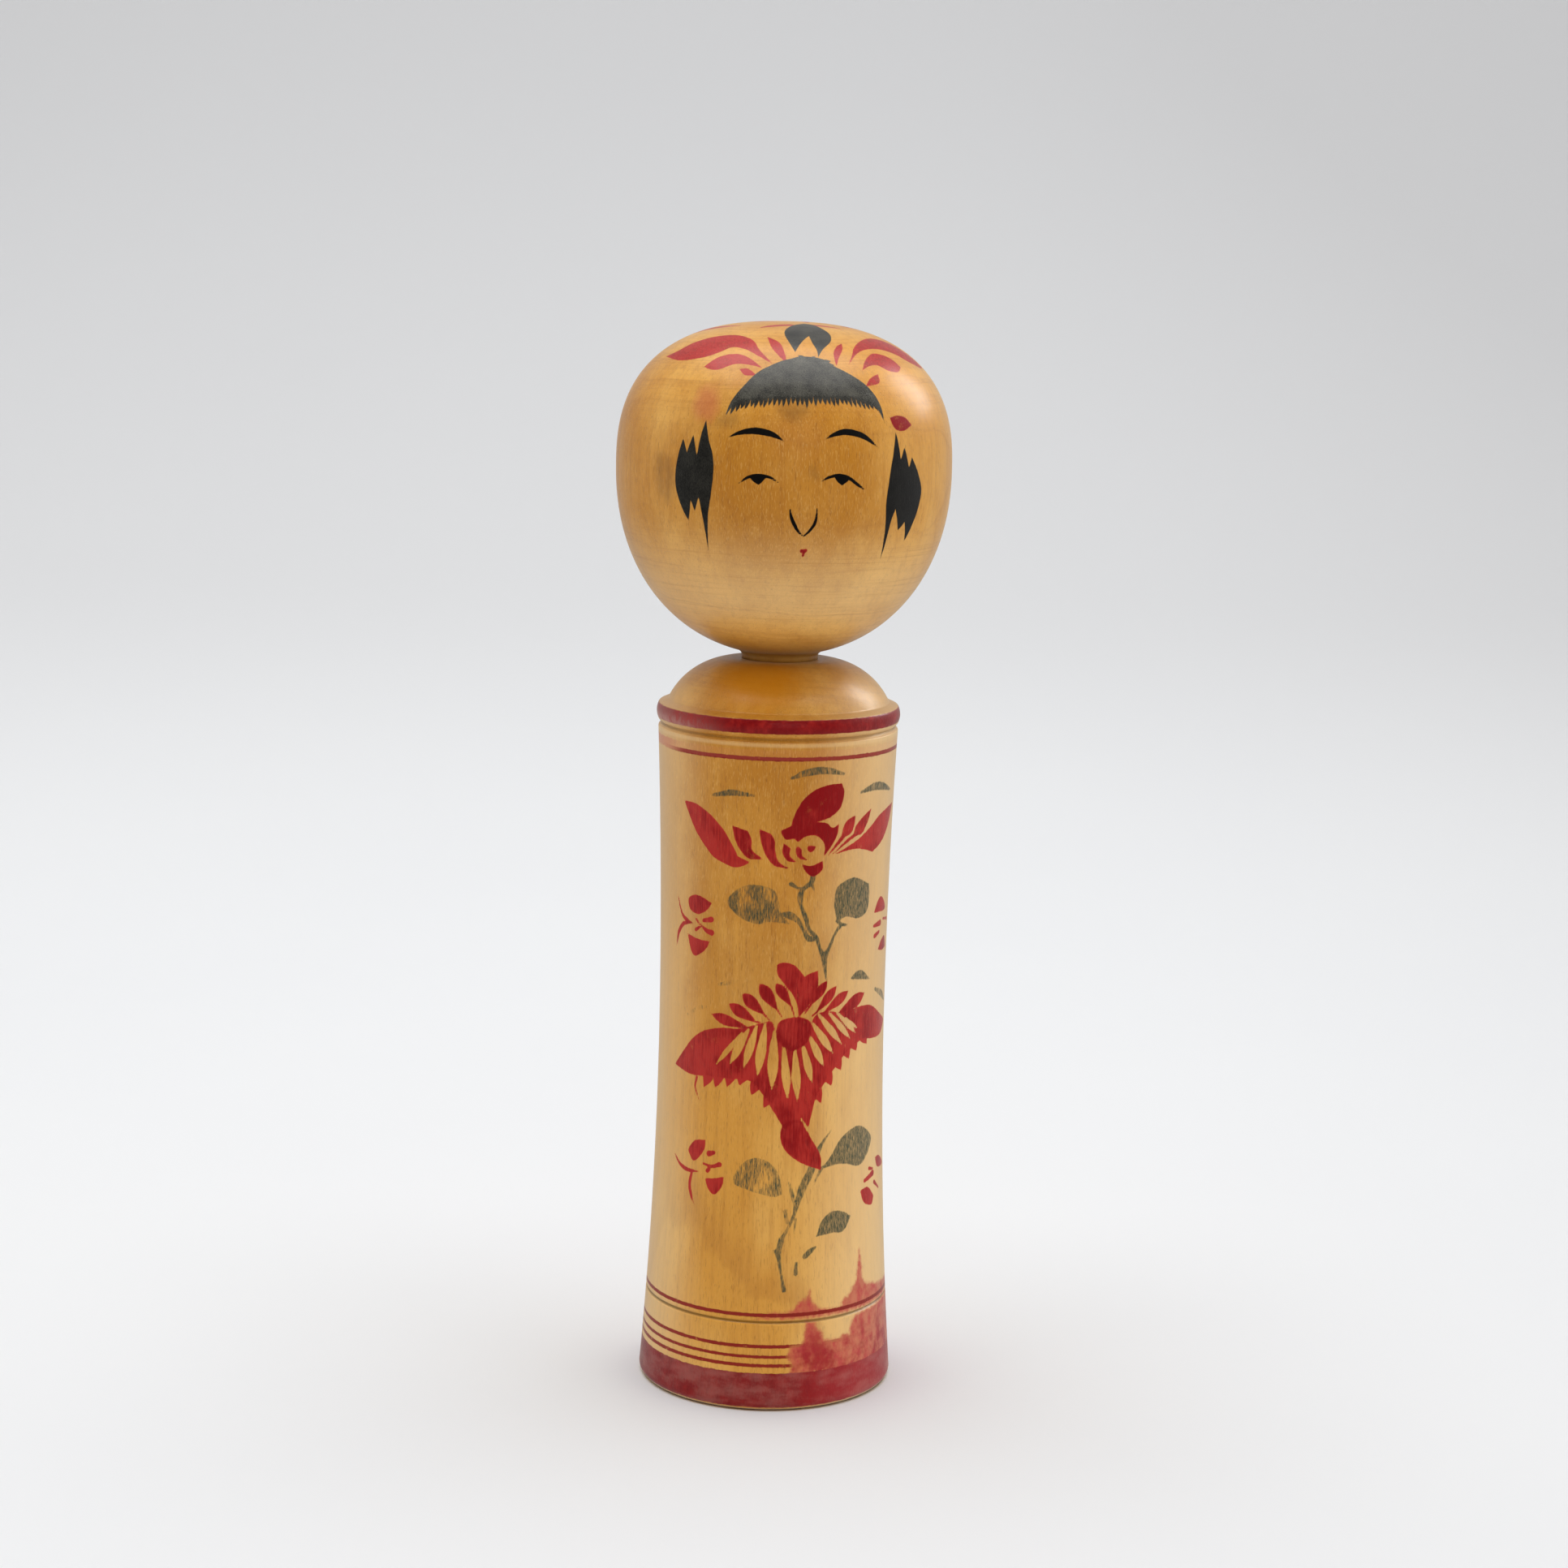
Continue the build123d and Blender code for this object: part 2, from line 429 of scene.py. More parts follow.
body_red.lay(patch(side, bell, [0, 8, 9, 10, 18, 27, 29]), 0.95)
for tip, root in (
    ((-16.2, 72.7), (-14, 78)),
    ((-13.1, 73), (-11.6, 78.5)),
    ((-10.1, 73.7), (-8.6, 79)),
    ((-7.1, 74.3), (-5.8, 79)),
    ((-4.3, 72.2), (-2.2, 77.5)),
    ((-1.4, 69.4), (1.2, 75)),
    ((26.4, 81.7), (22.6, 86)),
    ((22.3, 80.9), (20, 85)),
    ((19.8, 79.4), (17.6, 84)),
    ((17.4, 77.2), (15.2, 81.5)),
    ((14.9, 73.8), (12.6, 79)),
    ((12.2, 70.1), (9.8, 76)),
):
    petal(tip, root, 1.35, 0.5, belly=0.5)
for root, tip, half_width in (
    ((-6.8, 86.2), (-12.9, 78.6), 0.6), ((-5.3, 87.2), (-9.5, 79), 0.95), ((-3.4, 88), (-6.2, 78.4), 0.95),
    ((-1.4, 88.6), (-3, 76.6), 1.1), ((0.7, 87), (0.4, 73.6), 1.2), ((2.9, 83.6), (4.1, 71.4), 0.95),
    ((5.5, 83), (6.4, 71), 1.0), ((7.3, 84), (9.8, 75), 0.9), ((8.9, 85.8), (12.6, 78.7), 0.9),
    ((9.6, 88.6), (15, 81.4), 0.9), ((11, 90.6), (17.4, 83.2), 0.8), ((13.8, 90.6), (20.1, 84), 0.7),
    ((16, 90.4), (21.9, 85), 0.6), ((18.6, 88.8), (22.3, 86.1), 0.42),
):
    root, tip = np.array(root), np.array(tip)
    places = [root, root + (tip - root) * 0.3, root + (tip - root) * 0.62, tip]
    body_red.leave_bare(stroke(side, places, [0.3, half_width * 0.8, half_width, 0.12]))
dark_heart = [
    (1.1, 87.3), (1.7, 89.1), (3.5, 90), (6.5, 90.2), (8.8, 89.3), (9.3, 87.5), (8.8, 85), (7, 83.3),
    (4.8, 82.5), (2.8, 83.6), (1.4, 85.2),
]
body_red.lay(patch(side, dark_heart, [0, 8]), 1.4)
bell_tail = [
    (3.3, 65.8), (2.6, 62.8), (3.8, 59.8), (7.2, 57), (12.4, 54.8), (12.2, 58.2), (10, 62), (7.2, 66.6),
]
body_red.lay(patch(side, bell_tail, [4]), 1.05)
body_red.leave_bare(stroke(side, [(7.3, 67), (8.9, 64.5)], [0.2, 0.35]))
body_red.lay(stroke(side, [(-18.3, 74.8), (-18.7, 72.4), (-17.4, 69.5)], [0.35, 0.3, 0.15]), 0.6)

# sprigs at the sides: a bud above, one below, flecks between them, and a curled stalk
for bud in (
    [
        (-14.8, 114.9), (-17.3, 115.9), (-19.6, 116.2), (-21.8, 115), (-21.2, 112.6), (-18.7, 111.9),
        (-16.2, 113.1),
    ],
    [(27.6, 111.6), (29.1, 113.8), (31, 114.9), (33.6, 113.4), (34.2, 111.4)],
    [(-15.2, 60.8), (-18.2, 60.2), (-20.1, 58), (-19.8, 56.7), (-18.2, 55.4), (-15.6, 58.3)],
    [(31.2, 54.2), (34, 54), (38, 51.2), (32.8, 51.6)],
):
    body_red.lay(patch(side, bud, [0]), 0.85)
for bud in (
    [(-22.1, 107), (-18.5, 106.3), (-15.2, 106.2), (-16.6, 104), (-19.4, 102.3), (-20.9, 103.4)],
    [(36.6, 102.4), (33.4, 102.1), (30.5, 102.7), (32.2, 104.4), (35, 105.2)],
    [(-15.1, 52), (-12.6, 52.4), (-10.2, 53.1), (-10.6, 50.9), (-12.3, 48.7), (-14, 49.5)],
    [(24.1, 48.1), (27.4, 48.2), (30.2, 45.5), (29, 43.7), (25.6, 45)],
):
    body_red.lay(patch(side, bud, [0, 2]), 0.95)
for places, half_widths in (
    ([(-14.9, 111.2), (-17, 110.7)], [0.7, 0.45]),
    ([(-14.8, 108.2), (-16.4, 108.6), (-18, 109.7)], [0.7, 0.5, 0.2]),
    ([(-19.3, 110.7), (-18.5, 109.9)], [0.3, 0.25]),
    ([(-19.3, 108.3), (-18.2, 109.1)], [0.45, 0.3]),
    ([(-25.9, 115.2), (-24.3, 111.4), (-22.4, 110), (-20.2, 109.5)], [0.2, 0.35, 0.5, 0.15]),
    ([(-21.4, 109.6), (-23.7, 108.9), (-25.5, 106.6), (-26.3, 103.6)], [0.3, 0.5, 0.45, 0.2]),
    ([(27.9, 108.6), (31.2, 108.8)], [0.4, 0.75]),
    ([(28.5, 106.2), (30.8, 106.8)], [0.6, 0.4]),
    ([(33.2, 109.4), (37.5, 108.7)], [0.3, 0.4]),
    ([(-14.2, 57.8), (-13, 58.2)], [0.7, 0.5]),
    ([(-11.4, 55.7), (-13.4, 55), (-15.6, 55.3)], [0.6, 0.4, 0.25]),
    ([(-14.5, 53.8), (-14, 54.3)], [0.5, 0.4]),
    ([(-24.9, 55.6), (-22.9, 53.8), (-20.2, 53), (-16.9, 53.2)], [0.2, 0.4, 0.5, 0.15]),
    ([(-18.8, 52.9), (-19.4, 50), (-18.9, 47.6), (-17.8, 45.4)], [0.3, 0.45, 0.4, 0.15]),
    ([(26, 50), (29.8, 50.9)], [0.5, 0.75]),
    ([(28, 52.4), (29.8, 51.9)], [0.45, 0.3]),
    ([(30.6, 48.6), (33.5, 46.5)], [0.5, 0.3]),
):
    body_red.lay(stroke(side, places, half_widths), 0.8)

# stalks, leaves and loose dashes, with less and less paint on the brush
for places, half_widths, dry in (
    (
        [(3.2, 144), (6, 145.1), (9.1, 145.6), (12.2, 145.4), (15.4, 144.6)],
        [0.3, 0.75, 0.85, 0.7, 0.3],
        0.5,
    ),
    ([(20.6, 140), (25.2, 140.8), (29.1, 140.3), (33.6, 139)], [0.3, 0.9, 0.85, 0.25], 0.3),
    ([(-14.6, 139.3), (-12, 139.9), (-9.6, 140.3), (-5, 140)], [0.3, 0.6, 0.7, 0.3], 0.55),
    (
        [
            (8.7, 122), (8.3, 120.6), (6.5, 119.2), (5.9, 117.6), (6.1, 115.4), (7.3, 112.6), (8.1, 110.2),
            (9.9, 108.1), (10.9, 105.6), (12, 103.2), (12.4, 100.6), (13, 97.6),
        ],
        [0.65, 0.6, 0.5, 0.62, 0.45, 0.55, 0.4, 0.5, 0.4, 0.7, 0.4, 0.12],
        0.33,
    ),
    ([(3.7, 120.4), (5, 119.6), (6.4, 119.2)], [0.5, 0.3, 0.3], 0.35),
    ([(8.6, 120), (8.9, 119)], [0.35, 0.2], 0.4),
    ([(12, 103.2), (13.4, 105.9), (14.8, 108.8), (16, 110.2)], [0.75, 0.42, 0.35, 0.5], 0.25),
    ([(15.2, 111.5), (16.4, 110.6), (17.9, 110.3)], [0.45, 0.42, 0.25], 0.25),
    (
        [(10.2, 107.9), (8.2, 107.9), (6.9, 109.8), (5.6, 112), (3.6, 113.3), (1.8, 113.6)],
        [0.35, 0.65, 0.4, 0.55, 0.85, 0.4],
        0.5,
    ),
    (
        [
            (15, 63.7), (12.6, 61), (11, 58), (9.8, 54.8), (8.2, 51.8), (6.9, 48.4), (6, 45), (4.6, 41.8),
            (3.2, 39.4),
        ],
        [0.1, 0.4, 0.75, 0.9, 0.95, 0.7, 0.4, 0.32, 0.5],
        0.42,
    ),
    ([(3.2, 39.4), (2.7, 36.4), (3.1, 33), (3.5, 30.4), (4, 27.8)], [0.6, 0.6, 0.35, 0.3, 0.5], 0.36),
    ([(4.8, 52.4), (5.5, 50), (6.2, 47.4)], [0.3, 0.45, 0.3], 0.6),
    ([(4, 46), (4.5, 43.2)], [0.45, 0.3], 0.5),
    ([(6.3, 44), (6.2, 40.8)], [0.35, 0.15], 0.6),
    ([(1.7, 37), (2.6, 35.6)], [0.25, 0.4], 0.4),
    ([(12.5, 55.3), (10.8, 52.2)], [0.45, 0.15], 0.6),
    ([(8.7, 61.9), (9.3, 60.2)], [0.45, 0.3], 0.0),
    ([(8.7, 35.3), (9.8, 36.4), (11.2, 37.3)], [0.6, 0.6, 0.2], 0.1),
    ([(6.6, 31.5), (6.7, 34)], [0.5, 0.3], 0.15),
    ([(20, 97.9), (22.8, 98.3), (26.4, 96.8)], [0.3, 1.05, 0.2], 0.25),
    ([(29.6, 93.8), (33.8, 92), (37.4, 89.8)], [0.4, 0.8, 0.3], 0.45),
    ([(-12.6, 96.8), (-8.8, 97.8)], [0.4, 0.55], 0.72),
    ([(-21.6, 88.6), (-18.6, 90.4), (-16, 91.2)], [0.3, 0.5, 0.3], 0.75),
):
    body_green.lay(stroke(side, places, half_widths), 1.0, dry)
for outline, tips, dry in (
    (
        [
            (14.2, 115.6), (15, 119.2), (18.4, 120.8), (20.8, 120.6), (24.8, 118.8), (25.2, 116.3),
            (24.5, 112.7), (21.3, 111.4), (17.7, 112.2), (15.2, 111.2), (14.6, 113.4),
        ],
        [4, 9],
        0.27,
    ),
    (
        [
            (-10.8, 115.6), (-8.7, 118.5), (-5.1, 120), (-0.5, 119.2), (0.9, 116.6), (1.8, 113.4),
            (3.6, 111.4), (-0.9, 111.8), (-3.7, 111.2), (-8, 112.6),
        ],
        [6],
        0.56,
    ),
    (
        [
            (12.2, 55), (15, 57.8), (17.3, 61), (21, 63.1), (24.4, 63.1), (28.6, 60.1), (28.1, 57.4),
            (25.2, 54.6), (22.7, 54.2), (19.3, 55.3), (16, 55.6),
        ],
        [0],
        0.34,
    ),
    (
        [
            (-7.9, 52.2), (-6.5, 56), (-3.2, 58), (0.3, 57), (2.4, 54.3), (3.3, 49.8), (1, 49.3),
            (-4.8, 50.7),
        ],
        [5],
        0.64,
    ),
    (
        [(11.3, 39.6), (12.7, 43.1), (15.2, 44.9), (18.4, 44.4), (20.8, 43), (18.5, 39.9), (15.2, 40)],
        [0, 4],
        0.2,
    ),
):
    body_green.lay(patch(side, outline, tips), 1.0, dry)
body_red.keep(body_piece, "red")
body_green.keep(body_piece, "green")


# Damp has lifted the dye at the foot's right, where it has run up the grain
# above the groove and drowned the thin lines below it.
body_run = Paint(len(side))
above_groove = [
    (-2, 21.2), (1.8, 22.9), (4, 22.7), (6, 23.5), (7.9, 25.4), (8.8, 25.6), (9.9, 27.6), (10.6, 25),
    (12, 23.4), (15, 22.5), (17.4, 22.7), (18.4, 24.4), (19.8, 24.8), (21.3, 26.6), (22.4, 28),
    (22.8, 31.4), (23.6, 35), (24.4, 31.4), (24.9, 27.6), (26, 26.4), (28.4, 25.6), (33, 24.6), (40, 24.2),
    (48, 25), (56, 22.6), (58, 20.6), (20, 20.9),
]
below_groove = [
    (5.3, 8.4), (5.6, 10.6), (4.8, 13), (5.8, 15.1), (8.2, 15.7), (8.6, 18), (8.9, 20.2), (11, 20.3),
    (11.7, 18.6), (12.6, 17.4), (13.3, 15.8), (16.4, 15.4), (18, 16), (20, 15.7), (20.4, 18.2),
    (21.6, 19.6), (24, 20.1), (40, 20.3), (58, 20), (60, 8),
]
body_run.lay(patch(side, above_groove, [0, 6, 9, 16, 25]))
body_run.lay(patch(side, below_groove, [0, 3, 6, 7, 10, 13, 15]))
body_run.lay(
    stroke(side, [(6, 9.4), (10, 12), (14.5, 13), (20, 11.6), (27, 13)], [0.4, 1.6, 1.2, 1.9, 0.6]),
    1.0,
    1.0,
)
body_run.keep(body_piece, "run")


# ---------------------------------------------------------------------------
# Finish of the body: pale close-grained dogwood that has gone honey-coloured with
# age under its wax. Growth rings stand round a pith a little off the axis, fine
# fibres run up the grain, and the dye has sunk in and worn at the edges.
class Finish:
    """One finish, put together from shader nodes. All its sizes are in millimetres."""

    def __init__(self, name):
        self.material = bpy.data.materials.new(name)
        self.material.use_nodes = True
        self.tree = self.material.node_tree
        self.tree.nodes.clear()
        place = self.put("ShaderNodeTexCoord", out="Object")
        self.place = self.vector("MULTIPLY", place, (1000, 1000, 1000))
        self.apart = self.put("ShaderNodeSeparateXYZ", {0: self.place}, out=None)

    def put(self, kind, inputs=None, out=0, **settings):
        """One shader node, with its inputs linked or set, and one of its outputs handed back."""
        node = self.tree.nodes.new(kind)
        for key, value in settings.items():
            setattr(node, key, value)
        for key, value in (inputs or {}).items():
            if isinstance(value, bpy.types.NodeSocket):
                self.tree.links.new(value, node.inputs[key])
            else:
                node.inputs[key].default_value = value
        return node if out is None else node.outputs[out]

    def math(self, operation, a, b=0.0, c=0.0, clamp=False):
        return self.put("ShaderNodeMath", {0: a, 1: b, 2: c}, operation=operation, use_clamp=clamp)

    def times(self, a, b, clamp=False):
        return self.math("MULTIPLY", a, b, clamp=clamp)

    def plus(self, a, b):
        return self.math("ADD", a, b)

    def less(self, a, b):
        return self.math("SUBTRACT", a, b)

    def scaled(self, value, by, then_add):
        return self.math("MULTIPLY_ADD", value, by, then_add)

    def distance_to(self, spot):
        """How far each point is from one spot on the object."""
        apart = self.vector("SUBTRACT", self.place, spot)
        return self.put("ShaderNodeVectorMath", {0: apart}, out=1, operation="LENGTH")

    def vector(self, operation, a, b):
        return self.put("ShaderNodeVectorMath", {0: a, 1: b}, operation=operation)

    def ease(self, value, low, high, first=0.0, last=1.0):
        """A soft change from first to last while the value goes from low to high."""
        inputs = {"Value": value, "From Min": low, "From Max": high, "To Min": first, "To Max": last}
        return self.put("ShaderNodeMapRange", inputs, interpolation_type="SMOOTHSTEP")

    def noise(self, per_mm, detail=2.0, rough=0.5, shift=(0, 0, 0)):
        """Cloudy variation, given as how often it changes in a millimetre along x, y and z."""
        stretched = self.vector("MULTIPLY", self.place, per_mm)
        moved = self.vector("ADD", stretched, shift)
        return self.put(
            "ShaderNodeTexNoise",
            {"Vector": moved, "Scale": 1.0, "Detail": detail, "Roughness": rough},
        )

    def mix(self, share, a, b, blend="MIX"):
        inputs = {0: share, 6: a, 7: b}
        return self.put("ShaderNodeMix", inputs, out=2, data_type="RGBA", blend_type=blend)

    def kept(self, name):
        """Numbers kept on the mesh by the brush."""
        return self.put("ShaderNodeAttribute", out="Fac", attribute_name=name)

    def feathered(self, name, fray=0.35, edge=0.13):
        """Where a colour was laid, with the edge that a brush leaves on waxed grain."""
        wander = self.noise((1.6, 1.6, 0.5), 3.0, 0.6)
        inside = self.scaled(self.less(wander, 0.5), fray, self.kept(name))
        return self.ease(inside, -edge, edge)

    def dry_brushed(self, cover, name):
        """Thins a colour to streaks up the grain where the brush was nearly dry."""
        streaks = self.noise((4.4, 4.4, 0.5), 3.0, 0.65, (7, 3, 1))
        clouds = self.noise((0.35, 0.35, 0.2), 2.0, 0.5, (1, 9, 4))
        uneven = self.scaled(clouds, 0.5, self.times(streaks, 0.9))
        start = self.scaled(self.kept(name + "_dry"), 0.62, 0.24)
        filled = self.ease(self.less(uneven, start), -0.1, 0.2)
        return self.times(cover, filled)


def colour(red, green, blue):
    """A paint or wood colour, given as 0 to 255 on a screen, as the shader wants it."""
    channels = [c / 255 for c in (red, green, blue)]
    return (*[c / 12.92 if c <= 0.04045 else ((c + 0.055) / 1.055) ** 2.4 for c in channels], 1.0)


def waxed_wood(finish, pith, ring_width, ring_share, patina_and_shade, seed):
    """The bare wood, darker where it is given patina and painted shade: its colour and the height of its
    grain.
    """
    x = finish.less(finish.apart.outputs[0], pith[0])
    y = finish.less(finish.apart.outputs[1], pith[1])
    squares = finish.plus(finish.times(x, x), finish.times(y, y))
    from_pith = finish.math("SQRT", squares)
    sway = finish.noise((0.02, 0.02, 0.008), 3.0, 0.5, (seed, 0, 0))
    from_pith = finish.scaled(sway, 5.0, from_pith)
    wobble = finish.noise((0.22, 0.22, 0.07), 3.0, 0.55, (0, seed, 0))
    from_pith = finish.scaled(wobble, 0.7, from_pith)
    ring_count = finish.math("DIVIDE", from_pith, ring_width)
    ring_place = finish.put("ShaderNodeCombineXYZ", {0: ring_count, 1: seed * 0.7})
    ring = finish.put(
        "ShaderNodeTexNoise",
        {"Vector": ring_place, "Scale": 1.0, "Detail": 2.5, "Roughness": 0.62},
    )
    late_wood = finish.ease(ring, 0.48, 0.7)
    streaks = finish.noise((0.8, 0.8, 0.014), 4.0, 0.65, (seed, 2, 5))
    clouds = finish.noise((0.045, 0.045, 0.02), 3.0, 0.5, (3, seed, 1))
    pores = finish.noise((4.2, 4.2, 0.45), 2.0, 0.6, (2, 1, seed))
    pore_depth = finish.ease(pores, 0.56, 0.7)
    flecks = finish.noise((4.2, 4.2, 0.75), 1.0, 0.5, (5, seed, 9))
    flecks = finish.ease(flecks, 0.55, 0.68)

    wood = finish.mix(finish.ease(clouds, 0.36, 0.66), HONEY, PALE_HONEY)
    stain = finish.noise((0.11, 0.11, 0.06), 4.0, 0.6, (8, 4, seed))
    uneven = finish.plus(finish.times(clouds, 0.8), finish.times(stain, 1.3))
    shade = finish.plus(finish.less(uneven, 1.05), patina_and_shade)
    wood = finish.mix(finish.ease(shade, -0.05, 1.0), wood, AMBER)
    wood = finish.mix(finish.times(finish.ease(streaks, 0.42, 0.74), 0.27), wood, RING_BROWN)
    wood = finish.mix(finish.times(late_wood, ring_share), wood, RING_BROWN)
    wood = finish.mix(finish.times(pore_depth, 0.32), wood, PORE_BROWN)
    fleck_share = finish.times(flecks, finish.scaled(patina_and_shade, 0.18, 0.06))
    wood = finish.mix(fleck_share, wood, FLECK)
    grain = finish.scaled(pore_depth, -0.8, finish.times(late_wood, 0.25))
    return wood, grain


def dyed(finish, under, cover, thin, deep, coats):
    """Dye on wood: a thin coat lets the grain through, and more coats go deep and dark."""
    tint = finish.mix(finish.ease(coats, 0.5, 1.7), thin, deep)
    stained = finish.mix(0.3, tint, finish.mix(1.0, under, tint, "MULTIPLY"))
    return finish.mix(cover, under, stained)


def fine_line(finish, height, half_width, waver=0.25, worn=0.45):
    """A thin line of dye held against the turning wood, worn through here and there."""
    lift = finish.noise((0.05, 0.05, 0.0), 2.0, 0.5, (height, 0, 0))
    middle = finish.scaled(finish.less(lift, 0.5), waver, height)
    gap = finish.math("ABSOLUTE", finish.less(finish.apart.outputs[2], middle))
    fray = finish.noise((1.1, 1.1, 1.1), 3.0, 0.6, (0, height, 0))
    inside = finish.less(finish.scaled(fray, 0.35, half_width - 0.17), gap)
    rubbed = finish.noise((0.5, 0.5, 0.5), 3.0, 0.6, (height, height, 0))
    rubbed = finish.ease(rubbed, 0.62, 0.76, 1.0, 1.0 - worn)
    return finish.times(finish.ease(inside, -0.1, 0.1), rubbed)


HONEY = colour(210, 148, 58)
PALE_HONEY = colour(224, 170, 86)
AMBER = colour(184, 120, 34)
RING_BROWN = colour(150, 86, 28)
PORE_BROWN = colour(120, 66, 20)
FLECK = colour(236, 190, 112)
PALE_WOOD = colour(240, 208, 154)
THIN_RED = colour(188, 46, 38)
DEEP_RED = colour(146, 3, 8)
LINE_RED = colour(168, 52, 36)
LINE_BROWN = colour(122, 26, 18)
LEAF_GREEN = colour(50, 66, 52)
BLOOM = colour(196, 140, 126)
AMBER_STAIN = colour(200, 122, 0)
RUN_PINK = colour(188, 66, 62)
RUN_RED = colour(158, 24, 34)
FOOT_THIN = colour(156, 36, 34)
FOOT_DEEP = colour(120, 14, 18)
FOOT_DAMP = colour(174, 44, 48)
BEAD_DEEP = colour(130, 8, 14)
SMEAR_PINK = colour(200, 104, 84)
FOOT_GROOVE_DIRT_AND_SHADE = colour(96, 70, 26)
SHOULDER_GROOVE_DIRT_AND_SHADE = colour(120, 80, 30)
WAX_TINT = colour(255, 240, 214)

body_finish = Finish("body_waxed_and_painted")
height = body_finish.apart.outputs[2]
# the wood is darker up the side towards the shoulder, and less so on the dome
body_darkening = body_finish.ease(height, 30.0, 140.0, 0.0, 0.7)
body_darkening = body_finish.plus(body_darkening, body_finish.ease(height, 156.5, 159.0, 0.0, -0.3))
body_wood, body_grain = waxed_wood(body_finish, (2.0, 3.5), 1.1, 0.26, body_darkening, 4.0)
edge_noise = body_finish.noise((0.9, 0.9, 0.9), 3.0, 0.6, (0, 0, 31))
mottle = body_finish.noise((0.5, 0.5, 0.35), 4.0, 0.65, (11, 0, 0))
speckle = body_finish.noise((2.4, 2.4, 1.1), 3.0, 0.65, (0, 17, 0))

# paler down both sides, most on the doll's left: partly the wood's tone, partly painted side light and
# sheen
from_left = body_finish.apart.outputs[0]
pale_and_lit_sides = body_finish.ease(from_left, 4.0, 27.0, 0.0, 0.62)
pale_and_lit_sides = body_finish.plus(pale_and_lit_sides, body_finish.ease(from_left, -28.0, -13.0, 0.55, 0.0))
pale_and_lit_sides = body_finish.times(pale_and_lit_sides, body_finish.ease(height, 152.0, 168.0, 1.0, 0.5))
surface_colour = body_finish.mix(pale_and_lit_sides, body_wood, PALE_WOOD)

# a rubbed amber stain on the dome, just under the chin
stain_middle = (-4.0, -16.5, 164.0)
from_stain = body_finish.scaled(mottle, -6.0, body_finish.distance_to(stain_middle))
stained = body_finish.ease(from_stain, 1.0, 11.0, 0.8, 0.0)
surface_colour = body_finish.mix(stained, surface_colour, AMBER_STAIN)

# green first, then red over it, as the flowers were painted
green_cover = body_finish.dry_brushed(body_finish.feathered("green", 0.4, 0.16), "green")
leaf_streaks = body_finish.noise((4.4, 4.4, 0.8), 4.0, 0.7, (21, 0, 4))
green_cover = body_finish.times(green_cover, body_finish.ease(leaf_streaks, 0.34, 0.62, 0.5, 0.96))
surface_colour = body_finish.mix(green_cover, surface_colour, LEAF_GREEN)
brush_marks = body_finish.noise((2.6, 2.6, 0.22), 3.0, 0.65, (2, 14, 6))
pooled = body_finish.noise((0.26, 0.26, 0.2), 2.0, 0.5, (12, 2, 9))
uneven_load = body_finish.scaled(pooled, 2.2, body_finish.times(brush_marks, 2.2))
coats = body_finish.plus(body_finish.kept("red_coats"), body_finish.less(uneven_load, 2.2))
red_cover = body_finish.feathered("red", 0.3, 0.11)
rubbed_through = body_finish.scaled(speckle, 0.45, mottle)
rubbed_through = body_finish.ease(rubbed_through, 0.82, 1.05, 1.0, 0.8)
red_cover = body_finish.times(red_cover, rubbed_through)
surface_colour = dyed(body_finish, surface_colour, red_cover, THIN_RED, DEEP_RED, coats)

# dye that damp has carried up from the foot, then the thin lines
run = body_finish.scaled(body_finish.less(edge_noise, 0.5), 1.6, body_finish.kept("run"))
run_cover = body_finish.ease(run, -0.5, 0.8)
run_load = body_finish.ease(mottle, 0.35, 0.7, 0.72, 0.98)
run_share = body_finish.times(run_cover, run_load)
surface_colour = body_finish.mix(run_share, surface_colour, RUN_PINK)
soaked = body_finish.noise((0.22, 0.22, 0.2), 3.0, 0.6, (4, 31, 0))
blots = body_finish.times(run_cover, body_finish.ease(soaked, 0.42, 0.66))
low_down = body_finish.ease(height, 11.0, 23.0, 0.85, 0.2)
blot_share = body_finish.times(blots, low_down)
surface_colour = body_finish.mix(blot_share, surface_colour, RUN_RED)
lines_left = body_finish.scaled(run_cover, -0.9, 1.0)
lines_under_run = ((10.5, 0.4), (12.5, 0.36), (14.9, 0.4))
for line_height, half_width in lines_under_run:
    line = body_finish.times(fine_line(body_finish, line_height, half_width), lines_left)
    surface_colour = dyed(body_finish, surface_colour, line, LINE_RED, LINE_BROWN, coats=1.1)
worn_off = body_finish.ease(from_left, -26.0, -20.5)
lines_in_the_clear = ((22.1, 0.42, 1.0), (148.2, 0.46, worn_off))
for line_height, half_width, left_of_it in lines_in_the_clear:
    line = body_finish.times(fine_line(body_finish, line_height, half_width), left_of_it)
    surface_colour = dyed(body_finish, surface_colour, line, LINE_RED, LINE_BROWN, coats=1.1)


# broad bands on the foot and the bead, and a pink smear under the bead
def band(low, high, fray=0.5):
    """A broad band of dye between two heights, with slightly uneven edges."""
    from_low = body_finish.less(height, low)
    to_high = body_finish.less(high, height)
    inside = body_finish.math("MINIMUM", from_low, to_high)
    wander = body_finish.less(edge_noise, 0.5)
    return body_finish.ease(body_finish.scaled(wander, fray, inside), -0.1, 0.14)


foot_band_bottom = 0.8
foot_band_top = 8.8
foot_band = band(foot_band_bottom, foot_band_top)
haze = body_finish.noise((0.14, 0.14, 0.34), 3.0, 0.55, (9, 0, 2))
foot_coats = body_finish.scaled(mottle, 1.4, 0.45)
surface_colour = dyed(body_finish, surface_colour, foot_band, FOOT_THIN, FOOT_DEEP, foot_coats)
wetted = body_finish.times(foot_band, body_finish.ease(from_left, 0.0, 22.0, 0.0, 0.6))
surface_colour = body_finish.mix(wetted, surface_colour, FOOT_DAMP)
bloom = body_finish.scaled(speckle, 0.25, haze)
bloom = body_finish.times(foot_band, body_finish.ease(bloom, 0.45, 0.85, 0.0, 0.24))
surface_colour = body_finish.mix(bloom, surface_colour, BLOOM)
